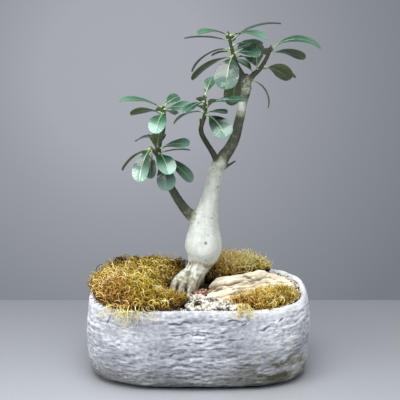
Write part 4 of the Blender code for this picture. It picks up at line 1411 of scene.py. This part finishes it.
def build_rock():
    """A mound with a crest across it, folded, cragged, split and cut by layers of noise."""
    mound = Mound(ROCK, "rock", 17 * MM, power=2.6)
    grid = mound.grid(110, 420)
    x, y = grid[..., 0], grid[..., 1]
    crest = 6 * MM + 0.33 * x
    ridge = 1 - 0.45 * np.minimum(np.abs(y - crest) / (38 * MM), 1)
    ridge = ridge * (1 - 0.4 * smooth_step(x, 70 * MM, 125 * MM))
    grid[2:, :, 2] = mound.base + (grid[2:, :, 2] - mound.base) * ridge[2:]
    turned = np.stack([x + 0.33 * y, y - 0.33 * x, grid[..., 2]], axis=-1)
    bent = turned + 3 * MM * noise(turned, 22, 499)[..., None]
    folds = creased(bent, (60, 13, 60), 2, 501, 2.4)
    crags = creased(bent, (24, 6, 24), 3, 509, 2.2)
    steps = ledges(grid, 5.0, 34, 521)
    cuts = 1 - smooth_step(np.abs(fractal(bent, (42, 11, 42), 3, 515)), 0.03, 0.17)
    height = 3.4 * folds + 3.0 * crags + 1.8 * steps - 3.0 * cuts - 2.4
    height[:2] = 0
    grid = grid + grid_normals(grid) * -(height * MM)[..., None]
    # Painted shade and highlight: darker in the cuts, paler on folds, crags and steps
    relief_and_shade = np.clip(0.18 + 0.2 * folds + 0.28 * crags + 0.12 * steps - 0.42 * cuts, 0, 1)
    points, faces, values = with_poles(grid, {"relief_and_shade": relief_and_shade})
    piece("rock_slab", points, faces, folded_limestone(), ["rock"], values)


build_rock()

# %% [markdown]
# ## Gravel, grit and lava
# Crushed pumice lies in front of the roots, nearly white, with a few black and brown chips, and a
# clump of red lava sits by the rock. A chip shows only a few facets, so it is a cube with each side
# cut into four and rounded a little, and every corner moved at random: 24 faces, used again and again.


# %% Crushed stone finishes
def crushed_stone(name, stops):
    """Colours picked by each chip's own tone plus a quarter of the noise of its pores."""
    made, tree = new_finish(name, Roughness=0.9)
    place = add(tree, "TexCoord", output="Object")
    tone = add(tree, "Attribute", output="Fac", attribute_name="tone")
    pores = add(tree, "TexNoise", {"Vector": place, "Scale": per(1.5), "Detail": 4.0})
    mixed = add(tree, "Math", {0: pores, 1: 0.25, 2: tone}, operation="MULTIPLY_ADD")
    return dressed(made, add(tree, "ValToRGB", {"Fac": mixed}, stops), pores, 0.6, 0.5)


PUMICE = crushed_stone(
    "crushed_pumice",
    [(0.12, "#1a1715"), (0.3, "#4d4238"), (0.5, "#a39785"), (0.7, "#c8c2b6"), (1.0, "#e9e6df")],
)
LAVA = crushed_stone(
    "red_lava_rock", [(0.15, "#2f1d17"), (0.45, "#6d4535"), (0.8, "#a07060"), (1.0, "#cbb09c")]
)


# %% Chips
def chip_template():
    """A cube's surface as 26 points and 24 quads, pulled part of the way to a sphere."""
    shell = np.array([p for p in np.ndindex(3, 3, 3) if p != (1, 1, 1)]) - 1
    index = {tuple(p): k for k, p in enumerate(shell)}
    faces = []
    for axis, end, a, b in itertools.product(range(3), (-1, 1), (-1, 0), (-1, 0)):
        corners = []
        for du, dv in ((0, 0), (1, 0), (1, 1), (0, 1)):
            p = [0, 0, 0]
            p[axis], p[(axis + 1) % 3], p[(axis + 2) % 3] = end, a + du, b + dv
            corners.append(index[tuple(p)])
        faces.append(corners[::end])
    return 0.6 * unit(shell.astype(float)) + 0.32 * shell, np.array(faces)


CHIP, CHIP_FACES = chip_template()


def turns_for(count, picks):
    """Random rotation matrices from random unit quaternions."""
    w, x, y, z = unit(picks.normal(size=(count, 4))).T
    rows = [
        [1 - 2 * (y * y + z * z), 2 * (x * y - w * z), 2 * (x * z + w * y)],
        [2 * (x * y + w * z), 1 - 2 * (x * x + z * z), 2 * (y * z - w * x)],
        [2 * (x * z - w * y), 2 * (y * z + w * x), 1 - 2 * (x * x + y * y)],
    ]
    return np.moveaxis(np.array(rows), -1, 0)


def chips(name, places, sizes, tones, finish, node, picks):
    """Many chips: the template with its corners moved, stretched, turned and put in place."""
    count = len(places)
    shape = CHIP * picks.uniform(0.78, 1.15, (count, len(CHIP), 1))
    shape = shape * picks.uniform(0.65, 1.2, (count, 1, 3)) * sizes[:, None, None]
    shape = np.einsum("nij,nkj->nki", turns_for(count, picks), shape) + places[:, None]
    faces = (CHIP_FACES + (np.arange(count) * len(CHIP))[:, None, None]).reshape(-1, 4)
    values = {"tone": np.repeat(tones, len(CHIP))}
    piece(name, shape.reshape(-1, 3), [faces], finish, [node], values)


GRAVEL_CHIPS, GRIT_CHIPS, LAVA_CHIPS = 660, 1300, 90
# The larger dark chips, as (x, y, radius, tone) with sizes in millimetres
DARK_CHIPS = [(-3, -68, 3.6, 0.0), (0, -62, 2.6, 0.02), (18, -60, 3.6, 0.2), (23, -57, 2.6, 0.16)]


def mostly(picks, count, rare, dark, pale):
    """Tones picked from the pale range, but from the dark range for a rare few."""
    few = picks.uniform(size=count) < rare
    return np.where(few, picks.uniform(*dark, count), picks.uniform(*pale, count))


def build_gravel():
    """A rough bed, toned darker than the chips as painted shade between them, and the chips strewn over
    it, the nearest of them made large and dark.
    """
    picks = np.random.default_rng(83)
    mound = Mound(GRAVEL, "gravel", 4 * MM, power=6.0, sink=0.8 * MM)
    grid = mound.grid(40, 160)
    grid[2:, :, 2] += 0.9 * MM * fractal(grid, 4, 3, 601)[2:]
    # The bed is darker than the chips: painted shade in the gaps between them
    points, faces, values = with_poles(grid, {"tone": 0.3 + 0.3 * fractal(grid, 3, 2, 607)})
    piece("gravel_bed", points, faces, PUMICE, ["gravel"], values)

    count = GRAVEL_CHIPS
    share = np.sqrt(picks.uniform(0, 1.06, count))
    xy = mound.place(picks.uniform(0, 1, count), share)
    sizes = picks.uniform(1.1, 3.0, count) * MM
    z = mound.top(xy, np.minimum(share, 1)) + sizes * picks.uniform(0.1, 0.7, count)
    tones = mostly(picks, count, 0.17, (0, 0.25), (0.3, 0.9))
    for x, y, size, tone in DARK_CHIPS:
        nearest = np.linalg.norm(xy - np.array([x, y]) * MM, axis=1).argmin()
        sizes[nearest], tones[nearest] = size * MM, tone
        z[nearest] = mound.base + mound.height + 2.4 * MM
    chips("gravel_chips", np.column_stack([xy, z]), sizes, tones, PUMICE, "gravel", picks)


def build_rim_grit():
    """Crumbs of pumice along the inside of the rim and in the gaps between the pieces."""
    picks = np.random.default_rng(89)
    count = GRIT_CHIPS
    angles = picks.uniform(0, 2 * np.pi, count)
    xy = plan_ring(angles, picks.uniform(13, 24, count) * MM)
    sizes = picks.uniform(0.6, 1.8, count) * MM
    places = np.column_stack([xy, SOIL_TOP + sizes * 0.3 - 0.5 * MM])
    tones = mostly(picks, count, 0.14, (0, 0.3), (0.4, 0.95))
    chips("rim_grit", places, sizes, tones, PUMICE, "gravel", picks)


def build_lava():
    """A ball of red chips, squashed into the clump's box."""
    picks = np.random.default_rng(97)
    low, high = (np.array(corner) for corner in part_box("lava_clump"))
    count = LAVA_CHIPS
    ball = unit(picks.normal(size=(count, 3))) * picks.uniform(0.2, 1.0, (count, 1))
    places = (low + high) / 2 + ball * (high - low) * (0.75, 0.6, 0.5)
    sizes = picks.uniform(1.0, 2.4, count) * MM
    chips("lava_chips", places, sizes, picks.uniform(0.1, 0.9, count), LAVA, "lava_clump", picks)


build_gravel()
build_rim_grit()
build_lava()

# %% [markdown]
# ## Table, background and light
# The pot stands on a plain pale table whose back edge shows behind it, against a plain grey wall. The
# wall is only the world's colour, a grey that falls off away from one soft bright spot. Waxy leaves
# need something to reflect: a tall soft light on the left, a weaker one on the right, a small one in
# front and a wide one overhead.

# %% Stage
TABLE_BACK = 0.228
TABLE_FRONT = -1.8
TABLE_HALF_WIDTH = 1.6
TABLE_THICKNESS = 0.03
BRIGHTEST = (-0.06, 0.978, -0.198)  # the direction of the wall's soft bright spot


def build_table():
    """A plain slab with a faintly clouded top."""
    sides = ((-1, TABLE_FRONT), (1, TABLE_FRONT), (1, TABLE_BACK), (-1, TABLE_BACK))
    points = np.array([(x * TABLE_HALF_WIDTH, y, z) for z in (-TABLE_THICKNESS, 0) for x, y in sides])
    edges = [(k, (k + 1) % 4, 4 + (k + 1) % 4, 4 + k) for k in range(4)]
    mesh = raw_mesh("table", points, [np.array([(3, 2, 1, 0), (4, 5, 6, 7), *edges])])
    made, tree = new_finish("painted_table_top", Roughness=0.6)
    place = add(tree, "TexCoord", output="Object")
    cloud = add(tree, "TexNoise", {"Vector": place, "Scale": per(3), "Detail": 3.0})
    paint = add(tree, "ValToRGB", {"Fac": cloud}, [(0.3, "#bfc2c8"), (0.7, "#c7cacf")])
    mesh.materials.append(dressed(made, paint))
    in_scene("table", mesh)


def build_world():
    """A grey wall in every direction, brightest in one and darker by the distance from it."""
    world = bpy.data.worlds.new("studio")
    world.use_nodes = True
    tree = world.node_tree
    direction = add(tree, "TexCoord", output="Generated")
    away = add(tree, "VectorMath", {0: direction, 1: BRIGHTEST}, output="Value", operation="DISTANCE")
    greys = [
        (0.0, "#a9acb3"), (0.07, "#a7aab1"), (0.12, "#9a9da4"), (0.2, "#888c93"), (0.28, "#777b83"),
        (0.6, "#7f8389"),
    ]
    wall = add(tree, "ValToRGB", {"Fac": away}, greys)
    tree.links.new(wall, tree.nodes["Background"].inputs["Color"])
    bpy.context.scene.world = world


def soft_light(name, place, target, size, watts):
    """A white rectangular soft light that looks at a point."""
    data = bpy.data.lights.new(name, "AREA")
    data.shape = "RECTANGLE"
    data.size, data.size_y = size
    data.energy = watts
    light = in_scene(name, data)
    light.location = place
    light.rotation_euler = (Vector(target) - Vector(place)).to_track_quat("-Z", "Y").to_euler()


build_table()
build_world()
soft_light("key", (-1.5, -1.0, 1.0), (0, 0, 0.2), (0.6, 1.0), 26)
soft_light("fill", (1.5, -1.0, 0.9), (0, 0, 0.15), (0.6, 0.8), 10)
soft_light("front", (-0.5, -1.5, 1.15), (0, 0, 0.25), (0.18, 0.26), 3)
soft_light("overhead", (-0.1, -0.4, 1.6), (0, 0, 0.1), (1.3, 1.0), 31)
bpy.context.scene.view_settings.view_transform = "Standard"
